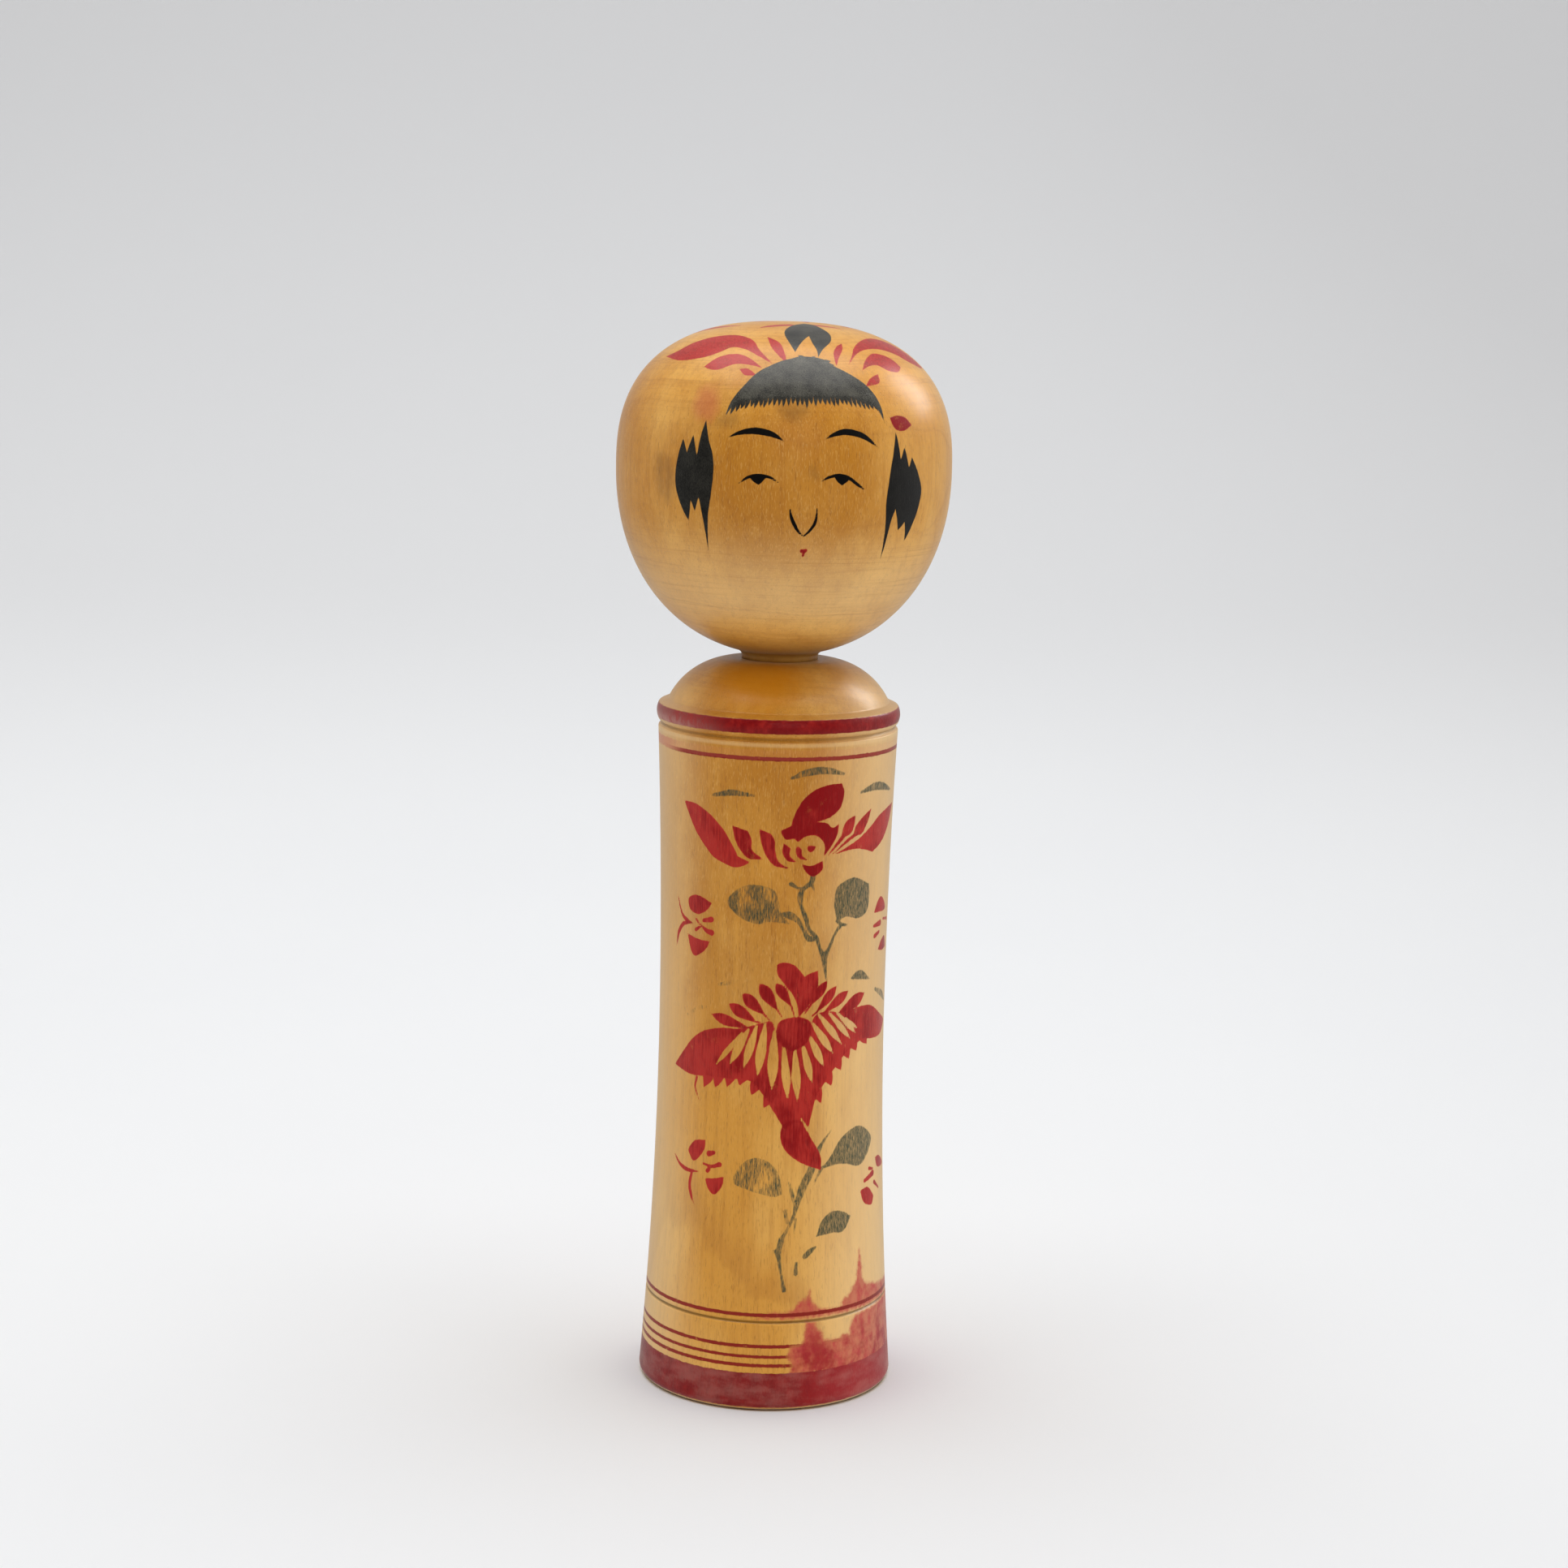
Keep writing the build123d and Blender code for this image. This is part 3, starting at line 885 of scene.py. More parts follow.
bead_band = band(bead_bottom + 0.6, bead_top + 0.02, 0.35)
bead_coats = body_finish.scaled(mottle, 1.8, 0.5)
surface_colour = dyed(body_finish, surface_colour, bead_band, THIN_RED, BEAD_DEEP, bead_coats)
faded = body_finish.ease(from_left, -27.0, -9.0, 0.8, 0.0)
faded = body_finish.times(faded, body_finish.ease(mottle, 0.36, 0.6, 0.4, 1.0))
faded = body_finish.times(faded, body_finish.ease(height, 153.6, 156.4, 1.0, 0.25))
faded = body_finish.times(faded, bead_band)
surface_colour = body_finish.mix(faded, surface_colour, BLOOM)
smear = body_finish.ease(from_left, -26.0, -20.0, 0.62, 0.12)
smear = body_finish.times(band(147.9, 150.2, 1.4), smear)
surface_colour = body_finish.mix(smear, surface_colour, SMEAR_PINK)

# handling dirt and painted shade in the grooves, and wear with a painted highlight on the rim edge
foot_groove_dirt_and_shade = body_finish.math("ABSOLUTE", body_finish.less(height, foot_groove_height))
foot_groove_dirt_and_shade = body_finish.ease(foot_groove_dirt_and_shade, 0.1, 0.5, 0.62, 0.0)
surface_colour = body_finish.mix(foot_groove_dirt_and_shade, surface_colour, FOOT_GROOVE_DIRT_AND_SHADE)
shoulder_groove_dirt_and_shade = body_finish.math("ABSOLUTE", body_finish.less(height, (rim_height + bead_bottom) / 2))
shoulder_groove_dirt_and_shade = body_finish.ease(shoulder_groove_dirt_and_shade, 0.1, 0.5, 0.42, 0.0)
surface_colour = body_finish.mix(shoulder_groove_dirt_and_shade, surface_colour, SHOULDER_GROOVE_DIRT_AND_SHADE)
# wear and a painted highlight: paler wood along the rim edge
rim_wear_and_highlight = body_finish.math("ABSOLUTE", body_finish.less(height, rim_height - 0.5))
rim_wear_and_highlight = body_finish.ease(rim_wear_and_highlight, 0.1, 0.7, 0.28, 0.0)
surface_colour = body_finish.mix(rim_wear_and_highlight, surface_colour, PALE_WOOD)


def wax_over(finish, piece, painted, rough, grain_height):
    """A rubbed coat of wax over the painted wood, and the whole finish put on its piece."""
    bump = finish.put("ShaderNodeBump", {"Strength": 0.35, "Distance": 0.00012, "Height": grain_height})
    shader = finish.put(
        "ShaderNodeBsdfPrincipled",
        {
            "Base Color": painted,
            "Roughness": rough,
            "Specular IOR Level": 0.22,
            "Normal": bump,
            "Coat Weight": 0.28,
            "Coat Roughness": 0.27,
            "Sheen Weight": 0.17,
            "Sheen Roughness": 0.2,
            "Sheen Tint": WAX_TINT,
        },
    )
    finish.put("ShaderNodeOutputMaterial", {"Surface": shader}, out=None)
    piece.data.materials.append(finish.material)


body_rough = body_finish.scaled(mottle, 0.14, 0.3)
wax_over(body_finish, body_piece, surface_colour, body_rough, body_grain)


# ---------------------------------------------------------------------------
# Head, turned from a second block: a broad apple shape on a short neck, with a
# tenon below that was forced past the lip of the hot socket, so that it stays
# captive and squeaks when it is turned.
head_low, head_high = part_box("head")
cheek_rise = 43
cheek_height = seat_height + cheek_rise
cheek_radius = head_high.x / MM
crown_rise = head_high.z / MM - cheek_height
crown_squareness = 2.5
jaw_squareness = 2.15
neck_length = 1.8
tenon_tip = head_low.z / MM
tenon_swell = 8.4
tenon_neck = 7.6
tenon_lead = 1.5
swell_top = 156.0
journal_bottom = 158.0
jaw_depth = 42.04
jaw_foot = 11.2


def even_steps(outline, step):
    """The same outline, with points an even step apart along it."""
    line = np.array(outline)
    run = np.concatenate([[0], np.cumsum(np.hypot(*np.diff(line, axis=0).T))])
    wanted = np.linspace(0, run[-1], math.ceil(run[-1] / step) + 1)
    return list(zip(np.interp(wanted, run, line[:, 0]), np.interp(wanted, run, line[:, 1])))


neck_top = seat_height + neck_length
jaw_power = 2 / jaw_squareness
crown_power = 2 / crown_squareness
jaw = []
crown = []
for t in np.linspace(0, math.pi / 2, 400):
    level, upright = math.cos(t), math.sin(t)
    jaw.append((cheek_radius * upright ** jaw_power, cheek_height - jaw_depth * level ** jaw_power))
    crown.append((cheek_radius * level ** crown_power, cheek_height + crown_rise * upright ** crown_power))
jaw = [(r, z) for r, z in jaw if r > jaw_foot]

head_outline = straight(
    [
        (0.0, tenon_tip),
        (tenon_swell - tenon_lead, tenon_tip),
        (tenon_swell, tenon_tip + tenon_lead),
        (tenon_swell, swell_top),
        (tenon_neck, journal_bottom),
        (tenon_neck, seat_height),
        (neck_radius, seat_height + 0.02),
        (neck_radius, seat_height + 0.7),
    ],
    3.0,
)
neck_flare = [head_outline[-1], (8.75, 168.3), (9.6, 168.95), jaw[0]]
head_outline += bend_through(neck_flare, 6).tolist()[1:]
head_outline += even_steps(jaw, 0.42)[1:]
head_outline += [(max(r, 0.0), z) for r, z in even_steps(crown, 0.27)[1:]]

head_piece = turn("turned_head", head_outline, round_steps(72, 0.42, 3.6))
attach(head_piece, "head")
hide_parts("head")


# Hair and face, brushed in black ink. The face is mapped as the distance round
# the cheeks from the front and the height. The crown is mapped from its middle:
# to the doll's left, and towards the front.
head_points = places_on(head_piece)
head_radius = np.hypot(head_points[:, 0], head_points[:, 1])
head_turned = np.arctan2(head_points[:, 0], -head_points[:, 1])
on_head = head_points[:, 2] > neck_top
face = np.stack([np.where(on_head, head_turned * cheek_radius, FAR_ROUND), head_points[:, 2]], -1)
crown_line = np.array(crown[::-1])
crown_run = np.concatenate([[0], np.cumsum(np.hypot(*np.diff(crown_line, axis=0).T))])
on_crown = head_points[:, 2] > cheek_height
from_middle = np.where(on_crown, np.interp(head_radius, crown_line[:, 0], crown_run), FAR_ROUND)
crown_top = np.stack([from_middle * np.sin(head_turned), from_middle * np.cos(head_turned)], -1)
head_black = Paint(len(face))
head_red = Paint(len(face))
head_smudge = Paint(len(face))

# fringe, cut straight with a row of fine points along its lower edge
fringe = [
    (-13.6, 222.4), (-12.6, 225.8), (-10.2, 229.1), (-7.3, 231.9), (-3.5, 233.6), (0, 234.6), (4.6, 235),
    (9.4, 234.6), (14, 233.1), (18.2, 231.2), (21.4, 228.8), (23.1, 225.6), (23.5, 221.6), (22.3, 224.4),
    (21.2, 225.6), (19, 226.6), (15.4, 227.1), (10.6, 227.1), (4.8, 227), (-2.7, 226.7), (-8.5, 226.2),
    (-11.4, 225.6),
]
head_black.lay(patch(face, fringe, [0, 12]), 1.0, 0.72)
comb = np.random.default_rng(5)
teeth = 33
longest_tooth = 16
teeth_start = -12.2
teeth_span = 34.2
for i in range(teeth):
    share = (i + 0.5) / teeth
    across = teeth_start + share * teeth_span
    root = 227.1 - 1.9 * abs(1.95 * share - 1.05) ** 3
    length = 1.45 + 0.85 * comb.random() + (0.8 if i == longest_tooth else 0.0)
    lean = (share - 0.48) * 1.3 + comb.normal(0, 0.12)
    places = [
        (across, root + 0.3),
        (across + lean * 0.35, root - length * 0.4),
        (across + lean, root - length),
    ]
    head_black.lay(stroke(face, places, [0.55, 0.4, 0.04]), 1.0, 0.4)

# the tied topknot, with two drooping lobes and the tie that joins it to the fringe
topknot = [
    (3.7, 7), (1.2, 11), (-0.4, 16), (-0.4, 19.6), (0.5, 23), (1.9, 26.9), (2.8, 24), (3.8, 21.2),
    (4.8, 19), (5.6, 22.4), (6.7, 25.2), (7.1, 27.8), (8, 24.6), (9.6, 20.3), (9.4, 16), (7.4, 11.6),
    (5.6, 8.2),
]
head_black.lay(patch(crown_top, topknot, [0, 5, 8, 11]), 1.0, 0.45)
tie = [(3, 28.2), (6.6, 27.9), (9.4, 28.2), (11, 30.4), (5.7, 31.2), (0.2, 30.8)]
head_black.lay(patch(crown_top, tie, [0, 2, 3, 5]), 1.0, 0.9)
for start, end in (
    ((3.2, 28.6), (0.7, 29.4)),
    ((2.6, 29.4), (-0.6, 29.9)),
    ((2, 30.3), (-1.5, 30.6)),
    ((3.4, 28.3), (2.6, 27.9)),
    ((9, 28.4), (10.1, 28)),
    ((9.4, 29.2), (11.4, 29.1)),
    ((9.8, 30), (12.6, 29.7)),
    ((6, 28.2), (6.4, 27.6)),
):
    head_black.lay(stroke(crown_top, [start, end], [0.5, 0.06]), 1.0, 0.9)

# brows, lids, nose
for places, half_widths in (
    (
        [(-12.6, 218.2), (-9.8, 219.3), (-6.8, 219.8), (-3.9, 219.5), (-1.8, 218.8), (-0.1, 217.8)],
        [0.06, 0.45, 0.72, 0.68, 0.45, 0.06],
    ),
    (
        [(8.9, 218.4), (10.7, 219.3), (13.2, 219.9), (15.7, 219.6), (18.2, 218.7), (21.6, 216.3)],
        [0.06, 0.42, 0.66, 0.66, 0.55, 0.06],
    ),
    (
        [(-9.6, 208.7), (-7.7, 210), (-5.6, 210.5), (-3.1, 210.2), (-1.2, 209.2)],
        [0.12, 0.32, 0.36, 0.32, 0.14],
    ),
    (
        [(8.2, 209.6), (9.8, 210.4), (11.9, 210.8), (14, 210.3), (16.1, 208.9), (17.9, 207.7)],
        [0.12, 0.32, 0.36, 0.38, 0.36, 0.14],
    ),
    ([(1.5, 203.5), (1.8, 201.8), (2.6, 200.1), (3.4, 198.8), (4.6, 197.7)], [0.15, 0.36, 0.4, 0.3, 0.16]),
    ([(4.6, 197.7), (5.7, 198.7), (6.7, 200), (7.2, 201.5), (7.3, 203.8)], [0.16, 0.27, 0.34, 0.3, 0.12]),
):
    head_black.lay(stroke(face, places, half_widths), 1.0, 0.0)
for eye_dot in (
    [(-7.5, 210.3), (-3.6, 210.3), (-4.5, 209.2), (-5.3, 208.5), (-6.5, 209.2)],
    [(10.7, 210.7), (14.6, 210.2), (13.6, 209.3), (12.6, 208.6), (11.6, 209.4)],
):
    head_black.lay(patch(face, eye_dot, [0, 1, 3]), 1.0, 0.0)

# side hair, cut to points above and below
side_left = [
    (-18, 221.8), (-18.9, 218), (-19.5, 214.1), (-20, 216), (-20.7, 218.5), (-21.5, 216.4), (-22.1, 214.6),
    (-22.6, 216), (-23.3, 217.6), (-24.3, 214.3), (-25, 210.2), (-24.8, 206.8), (-23.5, 203.1),
    (-21.8, 200), (-21.3, 202.2), (-20.9, 204.7), (-20.4, 203.2), (-20, 202.1), (-19.5, 203.6),
    (-18.9, 205.4), (-17.9, 199.6), (-17.4, 193.8), (-16.8, 201), (-16, 205.6), (-15.4, 210.2),
    (-15.6, 214.2), (-16.8, 217.6),
]
head_black.lay(patch(face, side_left, [0, 2, 4, 6, 8, 13, 15, 17, 19, 21]), 1.0, 0.2)
side_right = [
    (26.3, 220), (26.9, 217), (27.4, 213.9), (28, 215.2), (28.6, 216.6), (29.3, 214.4), (29.9, 212.1),
    (30.4, 213.2), (30.9, 214.4), (33.2, 210.6), (34.5, 206.8), (33.6, 202.3), (32.3, 199), (30.9, 196.1),
    (30.4, 198.4), (29.8, 200.4), (28.9, 199.4), (28, 198.6), (27.3, 201), (26.5, 203.3), (25.5, 200.2),
    (24.6, 192), (24.1, 200.2), (23.7, 205.2), (24.4, 211), (25.3, 215.4),
]
head_black.lay(patch(face, side_right, [0, 2, 4, 6, 8, 13, 15, 17, 19, 21]), 1.0, 0.06)

# red: the leaf-shaped ribbons each side of the topknot, a petal at the temple, and the mouth
ribbon_left = [
    (-28, 11.8), (-24.9, 13.5), (-20.6, 13.5), (-15.6, 14.6), (-11.3, 16.7), (-8.4, 19.7), (-7, 22.3),
    (-5.8, 26.2), (-3, 31), (-6.4, 27.8), (-9.1, 24.8), (-12, 22.8), (-14.9, 23.4), (-18.4, 23.2),
    (-22.7, 20.9), (-25.6, 17.6),
]
ribbon_right = [
    (14.2, 27.4), (14.7, 23.3), (15, 19.7), (16.6, 14), (18.8, 9.2), (22.4, 5.6), (27, 4), (32.6, 3.4),
    (31.6, 7), (28.4, 10.9), (24.4, 12.8), (20.9, 15.2), (18, 18.4), (15.9, 22),
]
for outline, tips, load in (
    (ribbon_left, [0, 8], 0.85),
    (
        [
            (-19, 26.4), (-15.6, 25.2), (-12, 25.5), (-9.1, 27.3), (-5.4, 31.8), (-9.1, 30), (-12, 29.1),
            (-15.6, 29.2), (-17.7, 28),
        ],
        [0, 4],
        0.75,
    ),
    ([(-10.8, 30.9), (-8.8, 31.3), (-6.8, 33.6), (-9.5, 33)], [0, 2], 0.7),
    ([(-4.3, 20), (-1.6, 23.2), (-0.5, 27), (0.2, 31), (-2.1, 27.7), (-3.5, 24.6)], [0, 3], 0.8),
    ([(12.1, 19.8), (12.4, 22.6), (11.8, 26.2), (11.4, 29.4), (10.5, 25.4), (10.9, 22.2)], [0, 3], 1.0),
    (ribbon_right, [0, 7], 1.0),
    (
        [
            (17.5, 27.5), (17.9, 23.3), (19.3, 19.3), (21.9, 17.3), (24.4, 16.8), (26.6, 17.5),
            (26.1, 20.4), (23.7, 22.5), (20.9, 23), (19.1, 24.8),
        ],
        [0, 5],
        1.0,
    ),
    ([(21.4, 25.8), (22.2, 27.9), (20.9, 29.8), (19.1, 31.3), (19.7, 28.6)], [0, 3], 1.0),
):
    head_red.lay(patch(crown_top, outline, tips), load)
head_red.lay(stroke(crown_top, [(-5.6, 13), (-3, 11.8), (0.5, 10.6)], [0.3, 0.95, 1.0]), 0.8)
head_red.lay(stroke(crown_top, [(5.6, 9), (8.6, 8.4), (12.4, 8.6)], [0.8, 0.8, 0.1]), 0.8)
temple_petal = [
    (25.1, 222.8), (27.3, 223.2), (29.8, 222.8), (31.7, 221.1), (29, 220), (26.9, 220.1), (25.8, 221),
]
head_red.lay(patch(face, temple_petal, [0, 3]), 1.8)
head_red.lay(stroke(face, [(4.4, 194.5), (5.3, 194.6)], [0.42, 0.4]), 1.4)
head_red.lay(stroke(face, [(4.9, 194), (4.8, 193.5)], [0.3, 0.32]), 1.4)
# the same ornaments sweep back from the topknot on the far side
for places, half_widths, load in (
    ([(-2, 5), (-6.5, 0), (-9.5, -6), (-10.5, -13), (-9, -19.5)], [0.1, 1.2, 1.7, 1.5, 0.1], 0.9),
    ([(11, 4), (15.2, -1), (17.6, -7.5), (17.6, -14.5), (15, -20.5)], [0.1, 1.2, 1.7, 1.5, 0.1], 1.0),
    ([(4.4, 4.2), (4, -2), (3.8, -9), (4, -16)], [0.1, 1.2, 1.5, 0.1], 1.1),
    ([(-9, 9), (-15, 5), (-20, 0), (-23, -6)], [0.1, 1.1, 1.4, 0.1], 0.8),
):
    head_red.lay(stroke(crown_top, places, half_widths), load)

# where fingers have carried ink and dye off the hair
for places, half_widths, load, dry in (
    ([(-19.6, 226.6), (-18.6, 224.9), (-17.8, 223.2)], [2.2, 3.2, 2.0], 1.0, 1.0),
    ([(-29.7, 213.5), (-29.5, 211.2), (-29.3, 206)], [0.8, 1.3, 0.8], 1.0, 0.0),
    ([(-27.3, 212.5), (-26.7, 208.6), (-27.2, 205)], [0.9, 1.4, 0.9], 0.8, 0.0),
    ([(-0.5, 224.4), (1.7, 223.8), (4, 224.3)], [1.0, 1.9, 1.2], 0.6, 0.0),
    ([(-14.6, 221.6), (-11.6, 221.8)], [0.8, 1.2], 0.5, 0.0),
    ([(6.3, 211.3), (6.9, 210.4)], [0.5, 0.4], 0.7, 0.0),
):
    head_smudge.lay(stroke(face, places, half_widths), load, dry)
head_black.keep(head_piece, "black")
head_red.keep(head_piece, "red")
head_smudge.keep(head_piece, "smudge")

INK = colour(13, 11, 9)
WORN_AND_SHEEN_INK = colour(94, 91, 80)
INK_SMUDGE = colour(104, 72, 40)
RED_SMUDGE = colour(186, 78, 66)
NECK_SHADE = colour(100, 64, 22)
nose = (1.0, -37.0, 209.0)
nose_height = nose[2]
head_finish = Finish("head_waxed_and_painted")
# the face is darker towards its middle, partly patina and partly painted shade for the dimmer light on the
# front
head_patina_and_shade = head_finish.ease(head_finish.distance_to(nose), 6.0, 40.0, 0.85, 0.05)
# painted shade: the doll's right cheek is darker still
right_cheek_painted_shade = head_finish.ease(head_finish.apart.outputs[0], -36.0, -20.0, 0.55, 0.0)
head_patina_and_shade = head_finish.plus(head_patina_and_shade, right_cheek_painted_shade)
head_wood, head_grain = waxed_wood(head_finish, (-1.0, 2.0), 0.7, 0.24, head_patina_and_shade, 11.0)
head_mottle = head_finish.noise((0.5, 0.5, 0.5), 4.0, 0.65, (0, 23, 0))
head_speckle = head_finish.noise((2.6, 2.6, 2.0), 3.0, 0.65, (13, 0, 0))
# end grain shows as fine level lines under the cheeks and over the crown
head_up = head_finish.apart.outputs[2]
below_mouth = head_finish.ease(head_up, 184.0, 203.0, 1.0, 0.0)
belt = head_finish.math("MINIMUM", head_finish.ease(head_up, 171.0, 184.0), below_mouth)
head_wood = head_finish.mix(head_finish.times(belt, 0.34), head_wood, PALE_WOOD)
level_lines = head_finish.noise((0.03, 0.03, 1.9), 4.0, 0.7, (4, 0, 3))
level_lines = head_finish.ease(level_lines, 0.5, 0.7)
off_cheeks = head_finish.math("ABSOLUTE", head_finish.less(head_up, nose_height))
off_cheeks = head_finish.ease(off_cheeks, 6.0, 17.0)
level_lines = head_finish.times(level_lines, off_cheeks)
head_wood = head_finish.mix(head_finish.times(level_lines, 0.22), head_wood, RING_BROWN)
smudge_cover = head_finish.scaled(head_mottle, 1.6, head_finish.kept("smudge"))
smudge_cover = head_finish.times(head_finish.ease(smudge_cover, -0.9, 2.8), 0.42)
smudge_colour = head_finish.mix(head_finish.kept("smudge_dry"), INK_SMUDGE, RED_SMUDGE)
head_colour = head_finish.mix(smudge_cover, head_wood, smudge_colour)
head_brush = head_finish.noise((2.4, 0.5, 2.4), 3.0, 0.65, (2, 14, 6))
head_load = head_finish.scaled(head_brush, 2.0, head_finish.times(head_mottle, 1.6))
head_coats = head_finish.plus(head_finish.kept("red_coats"), head_finish.less(head_load, 1.8))
head_red_cover = head_finish.feathered("red", 0.3, 0.11)
head_rubbed = head_finish.scaled(head_speckle, 0.5, head_mottle)
head_rubbed = head_finish.ease(head_rubbed, 0.82, 1.05, 1.0, 0.75)
head_red_cover = head_finish.times(head_red_cover, head_rubbed)
head_colour = dyed(head_finish, head_colour, head_red_cover, THIN_RED, DEEP_RED, head_coats)
ink_cover = head_finish.feathered("black", 0.16, 0.09)
# ink turns grey where the brush was dry, most on the fringe, tie and topknot: partly real wear, partly
# painted reflection of light on hair that faces up
scratches = head_finish.noise((7.0, 7.0, 2.6), 4.0, 0.75, (3, 0, 8))
rubbing = head_finish.noise((0.3, 0.3, 0.3), 3.0, 0.55, (0, 5, 14))
ink_wear_and_sheen = head_finish.scaled(scratches, 1.5, head_finish.times(rubbing, 0.6))
ink_wear_and_sheen = head_finish.times(head_finish.ease(ink_wear_and_sheen, 0.75, 1.35), head_finish.kept("black_dry"))
ink = head_finish.mix(head_finish.times(ink_wear_and_sheen, 1.2, clamp=True), INK, WORN_AND_SHEEN_INK)
head_colour = head_finish.mix(ink_cover, head_colour, ink)

# painted shade under the chin, darkest at the neck where it meets the body
neck_painted_shade = head_finish.ease(head_up, seat_height + 0.8, seat_height + 9.0, 0.64, 0.0)
head_colour = head_finish.mix(neck_painted_shade, head_colour, NECK_SHADE)
head_rough = head_finish.scaled(head_mottle, 0.14, 0.28)
head_rough = head_finish.scaled(ink_cover, 0.06, head_rough)
ink_height = head_finish.scaled(ink_cover, 0.25, head_grain)
wax_over(head_finish, head_piece, head_colour, head_rough, ink_height)


# ---------------------------------------------------------------------------
# A roll of matt white paper that the doll stands on, pulled out flat to the front
# and curving up far behind. Painted shade darkens its colour up the bend and to the right.
sweep_width = 6.0
sweep_front = -2.6
sweep_turn = 0.45
sweep_bend = 1.2
sweep_top = 3.2
bend_steps = 24
PAPER_COOL = colour(240, 241, 243)
PAPER_WARM = colour(244, 245, 246)
PAPER_SHADE = colour(217, 217, 218)
sweep_line = [(sweep_front, 0.0), (sweep_turn, 0.0)]
for i in range(1, bend_steps + 1):
    bend = math.radians(90 * i / bend_steps)
    sweep_line.append((sweep_turn + sweep_bend * math.sin(bend), sweep_bend * (1 - math.cos(bend))))
sweep_line.append((sweep_turn + sweep_bend, sweep_top))
sweep_mesh = bmesh.new()
left_edge = [sweep_mesh.verts.new((-sweep_width / 2, y, z)) for y, z in sweep_line]
right_edge = [sweep_mesh.verts.new((sweep_width / 2, y, z)) for y, z in sweep_line]
for i in range(len(sweep_line) - 1):
    sweep_mesh.faces.new((left_edge[i], right_edge[i], right_edge[i + 1], left_edge[i + 1]))
paper = bpy.data.meshes.new("paper_sweep")
sweep_mesh.to_mesh(paper)
sweep_mesh.free()
paper.shade_smooth()
sweep = bpy.data.objects.new("paper_sweep", paper)
bpy.context.scene.collection.objects.link(sweep)
sweep.visible_glossy = False
paper_finish = Finish("matt_white_paper")
paper_tone = paper_finish.noise((0.004, 0.004, 0.004), 2.0, 0.5)
paper_white = paper_finish.mix(paper_tone, PAPER_COOL, PAPER_WARM)
# painted shade: the paper is coloured darker up the bend and towards the right
bend_foot = paper_finish.ease(paper_finish.apart.outputs[2], 0.0, 90.0, 0.0, 0.47)
bend_rise = paper_finish.ease(paper_finish.apart.outputs[2], 50.0, 450.0, 0.0, 0.38)
to_right = paper_finish.ease(paper_finish.apart.outputs[0], 0.0, 700.0, 0.0, 0.55)
paper_painted_shade = paper_finish.plus(paper_finish.plus(bend_foot, bend_rise), to_right)
paper_white = paper_finish.mix(paper_painted_shade, paper_white, PAPER_SHADE)
paper_grain = paper_finish.noise((1.2, 1.2, 1.2), 2.0, 0.6)
paper_bump = paper_finish.put(
    "ShaderNodeBump",
    {"Strength": 0.05, "Distance": 0.0001, "Height": paper_grain},
)
paper_shader = paper_finish.put(
    "ShaderNodeBsdfPrincipled",
    {"Base Color": paper_white, "Roughness": 0.9, "Specular IOR Level": 0.2, "Normal": paper_bump},
)
paper_finish.put("ShaderNodeOutputMaterial", {"Surface": paper_shader}, out=None)
paper.materials.append(paper_finish.material)


# ---------------------------------------------------------------------------
# Light from large soft boxes round a white room: one overhead for everything, weaker
# ones at the sides and the front, and a small bright one behind at the right.
def soft_box(name, place, aim, width, tall, watts):
    """A large flat lamp at a place, turned to face another."""
    lamp = bpy.data.lights.new(name, "AREA")
    lamp.shape = "RECTANGLE"
    lamp.size = width
    lamp.size_y = tall
    lamp.energy = watts
    holder = bpy.data.objects.new(name, lamp)
    bpy.context.scene.collection.objects.link(holder)
    holder.location = place
    holder.rotation_euler = (Vector(aim) - Vector(place)).to_track_quat("-Z", "Y").to_euler()
    return holder


soft_box("overhead_box", (0.0, 0.1, 2.1), (0, 0.1, 0), 2.4, 1.8, 43)
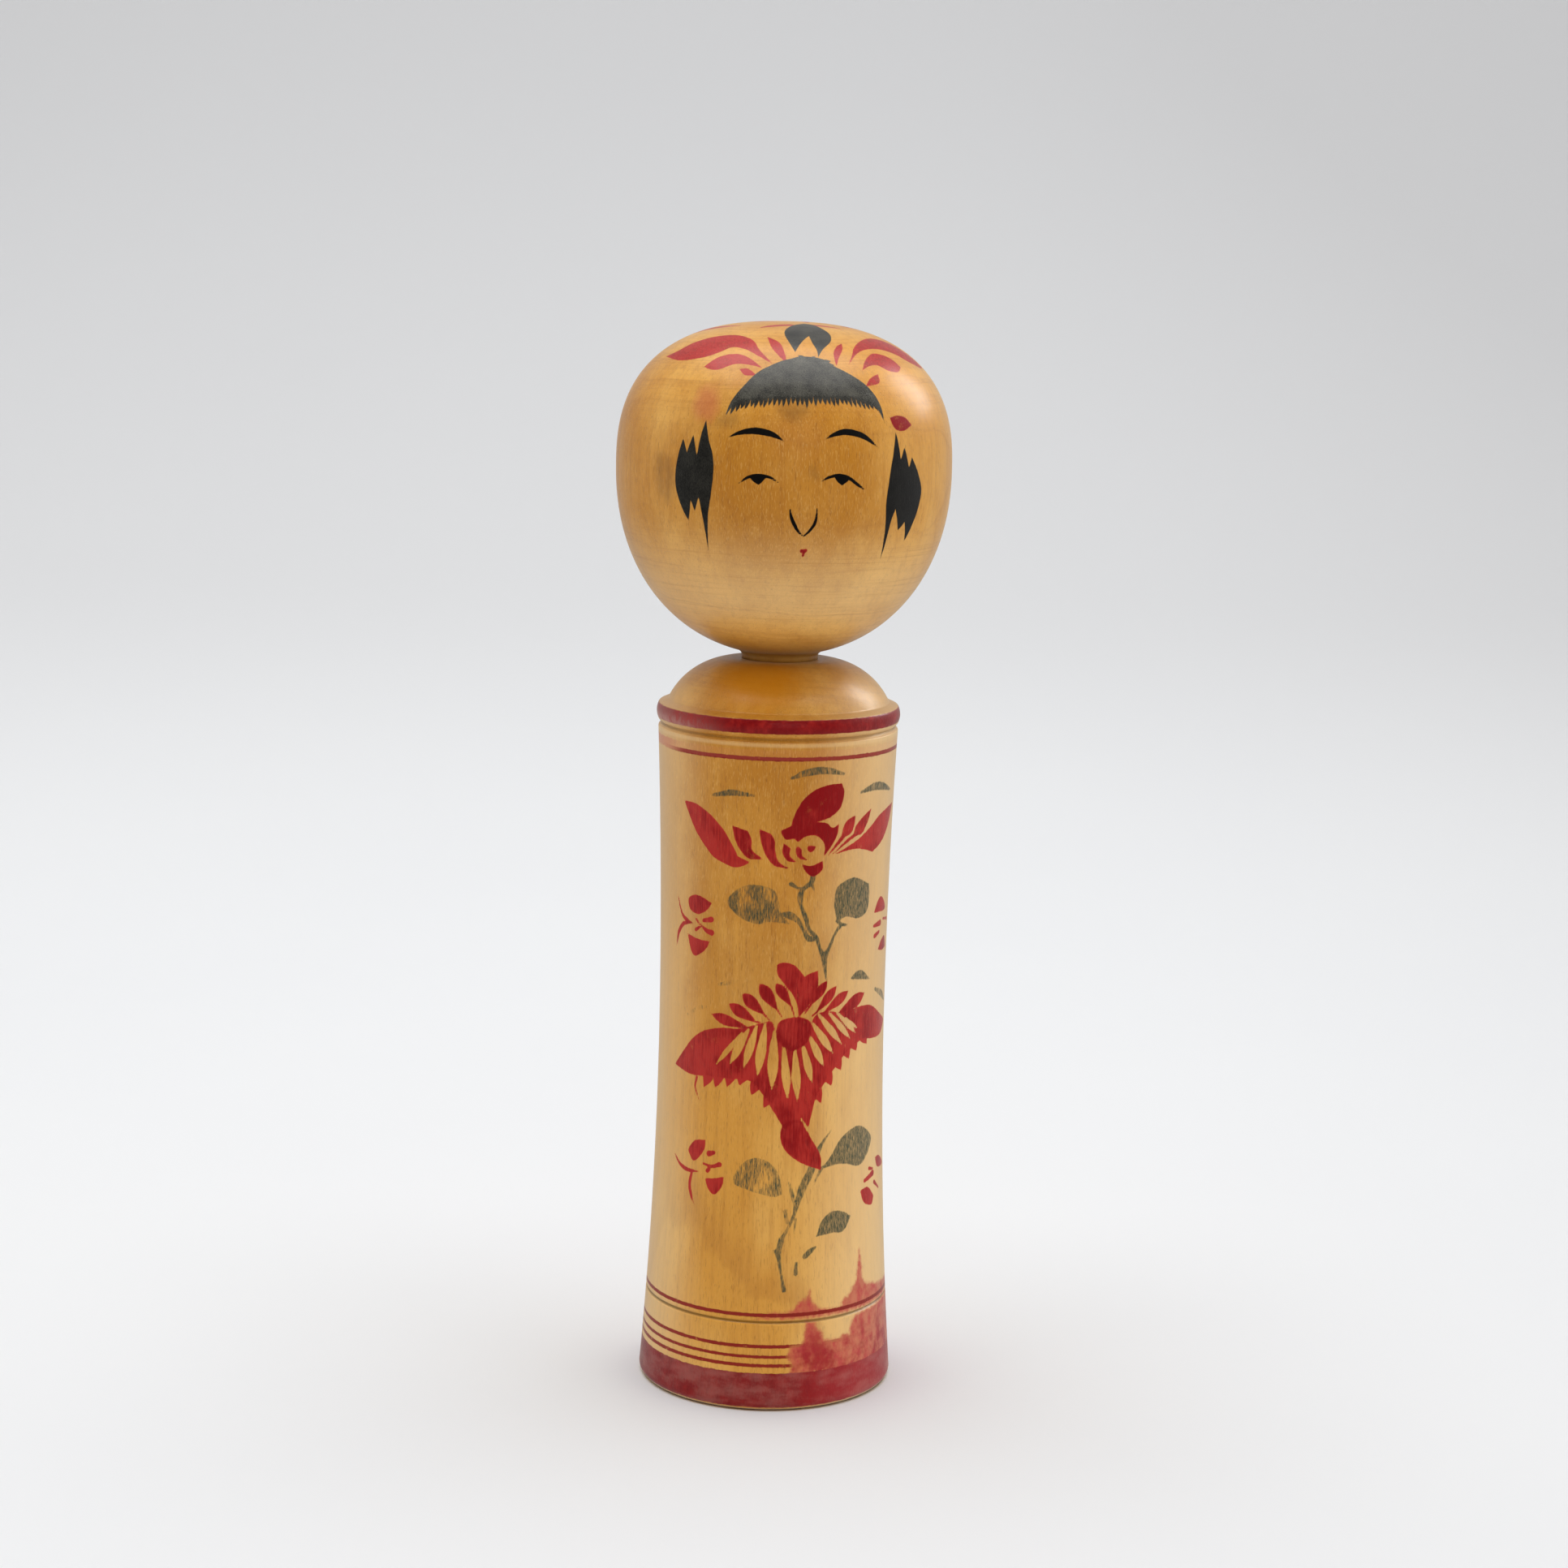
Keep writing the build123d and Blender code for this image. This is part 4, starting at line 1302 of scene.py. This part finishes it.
# the rest light the doll alone, so that the paper stays even
doll_only = bpy.data.collections.new("lit_from_the_sides")
for piece in (body_piece, head_piece):
    doll_only.objects.link(piece)
right_side = soft_box("right_side_box", (1.15, 0.1, 0.35), (0, 0, 0.12), 1.2, 1.2, 4.5)
left_side = soft_box("left_side_box", (-1.2, 0.1, 0.35), (0, 0, 0.12), 1.2, 1.2, 3.5)
front_box = soft_box("front_fill", (0.3, -1.9, 0.8), (0, 0, 0.12), 1.2, 1.0, 19)
for holder in (right_side, left_side, front_box):
    holder.visible_glossy = False
window = soft_box("right_window", (1.18, 0.76, 0.98), (0, 0, 0.2), 0.55, 0.75, 10)
window.visible_diffuse = False
for holder in (right_side, left_side, window, front_box):
    holder.light_linking.receiver_collection = doll_only
world = bpy.data.worlds.new("white_room")
world.use_nodes = True
room = world.node_tree.nodes
wires = world.node_tree.links
outward = room.new("ShaderNodeTexCoord")
parts = room.new("ShaderNodeSeparateXYZ")
darker_front = room.new("ShaderNodeMapRange")
darker_front.interpolation_type = "SMOOTHSTEP"
darker_front.inputs["From Min"].default_value = -0.8
darker_front.inputs["From Max"].default_value = 0.2
darker_front.inputs["To Min"].default_value = 0.03
darker_front.inputs["To Max"].default_value = 0.42
wires.new(outward.outputs["Generated"], parts.inputs["Vector"])
wires.new(parts.outputs["Y"], darker_front.inputs["Value"])
# seen straight on, the room is as pale as the paper all the way round
seen = room.new("ShaderNodeLightPath")
room_strength = room.new("ShaderNodeMix")
room_strength.inputs["B"].default_value = 0.8
wires.new(seen.outputs["Is Camera Ray"], room_strength.inputs["Factor"])
wires.new(darker_front.outputs["Result"], room_strength.inputs["A"])
wires.new(room_strength.outputs["Result"], room["Background"].inputs["Strength"])
room["Background"].inputs["Color"].default_value = (1.0, 1.0, 1.0, 1.0)
bpy.context.scene.world = world
bpy.context.scene.view_settings.view_transform = "Standard"


# ---------------------------------------------------------------------------
# The view: straight on to the face, from just above the crown, with the long
# lens that keeps the sides nearly upright.
eye = bpy.data.cameras.new("view")
eye.sensor_width = 36.0
eye.lens = 73.1
eye_holder = bpy.data.objects.new("view", eye)
bpy.context.scene.collection.objects.link(eye_holder)
eye_holder.location = (0.0, -0.7111, 0.2589)
drop_degrees = 9.63
turn_degrees = -0.13
lean_degrees = 1.31
look_down = Euler((math.radians(90 - drop_degrees), 0.0, math.radians(turn_degrees))).to_matrix()
lean = Euler((0.0, 0.0, math.radians(lean_degrees))).to_matrix()
eye_holder.rotation_euler = (look_down @ lean).to_euler()
bpy.context.scene.camera = eye_holder
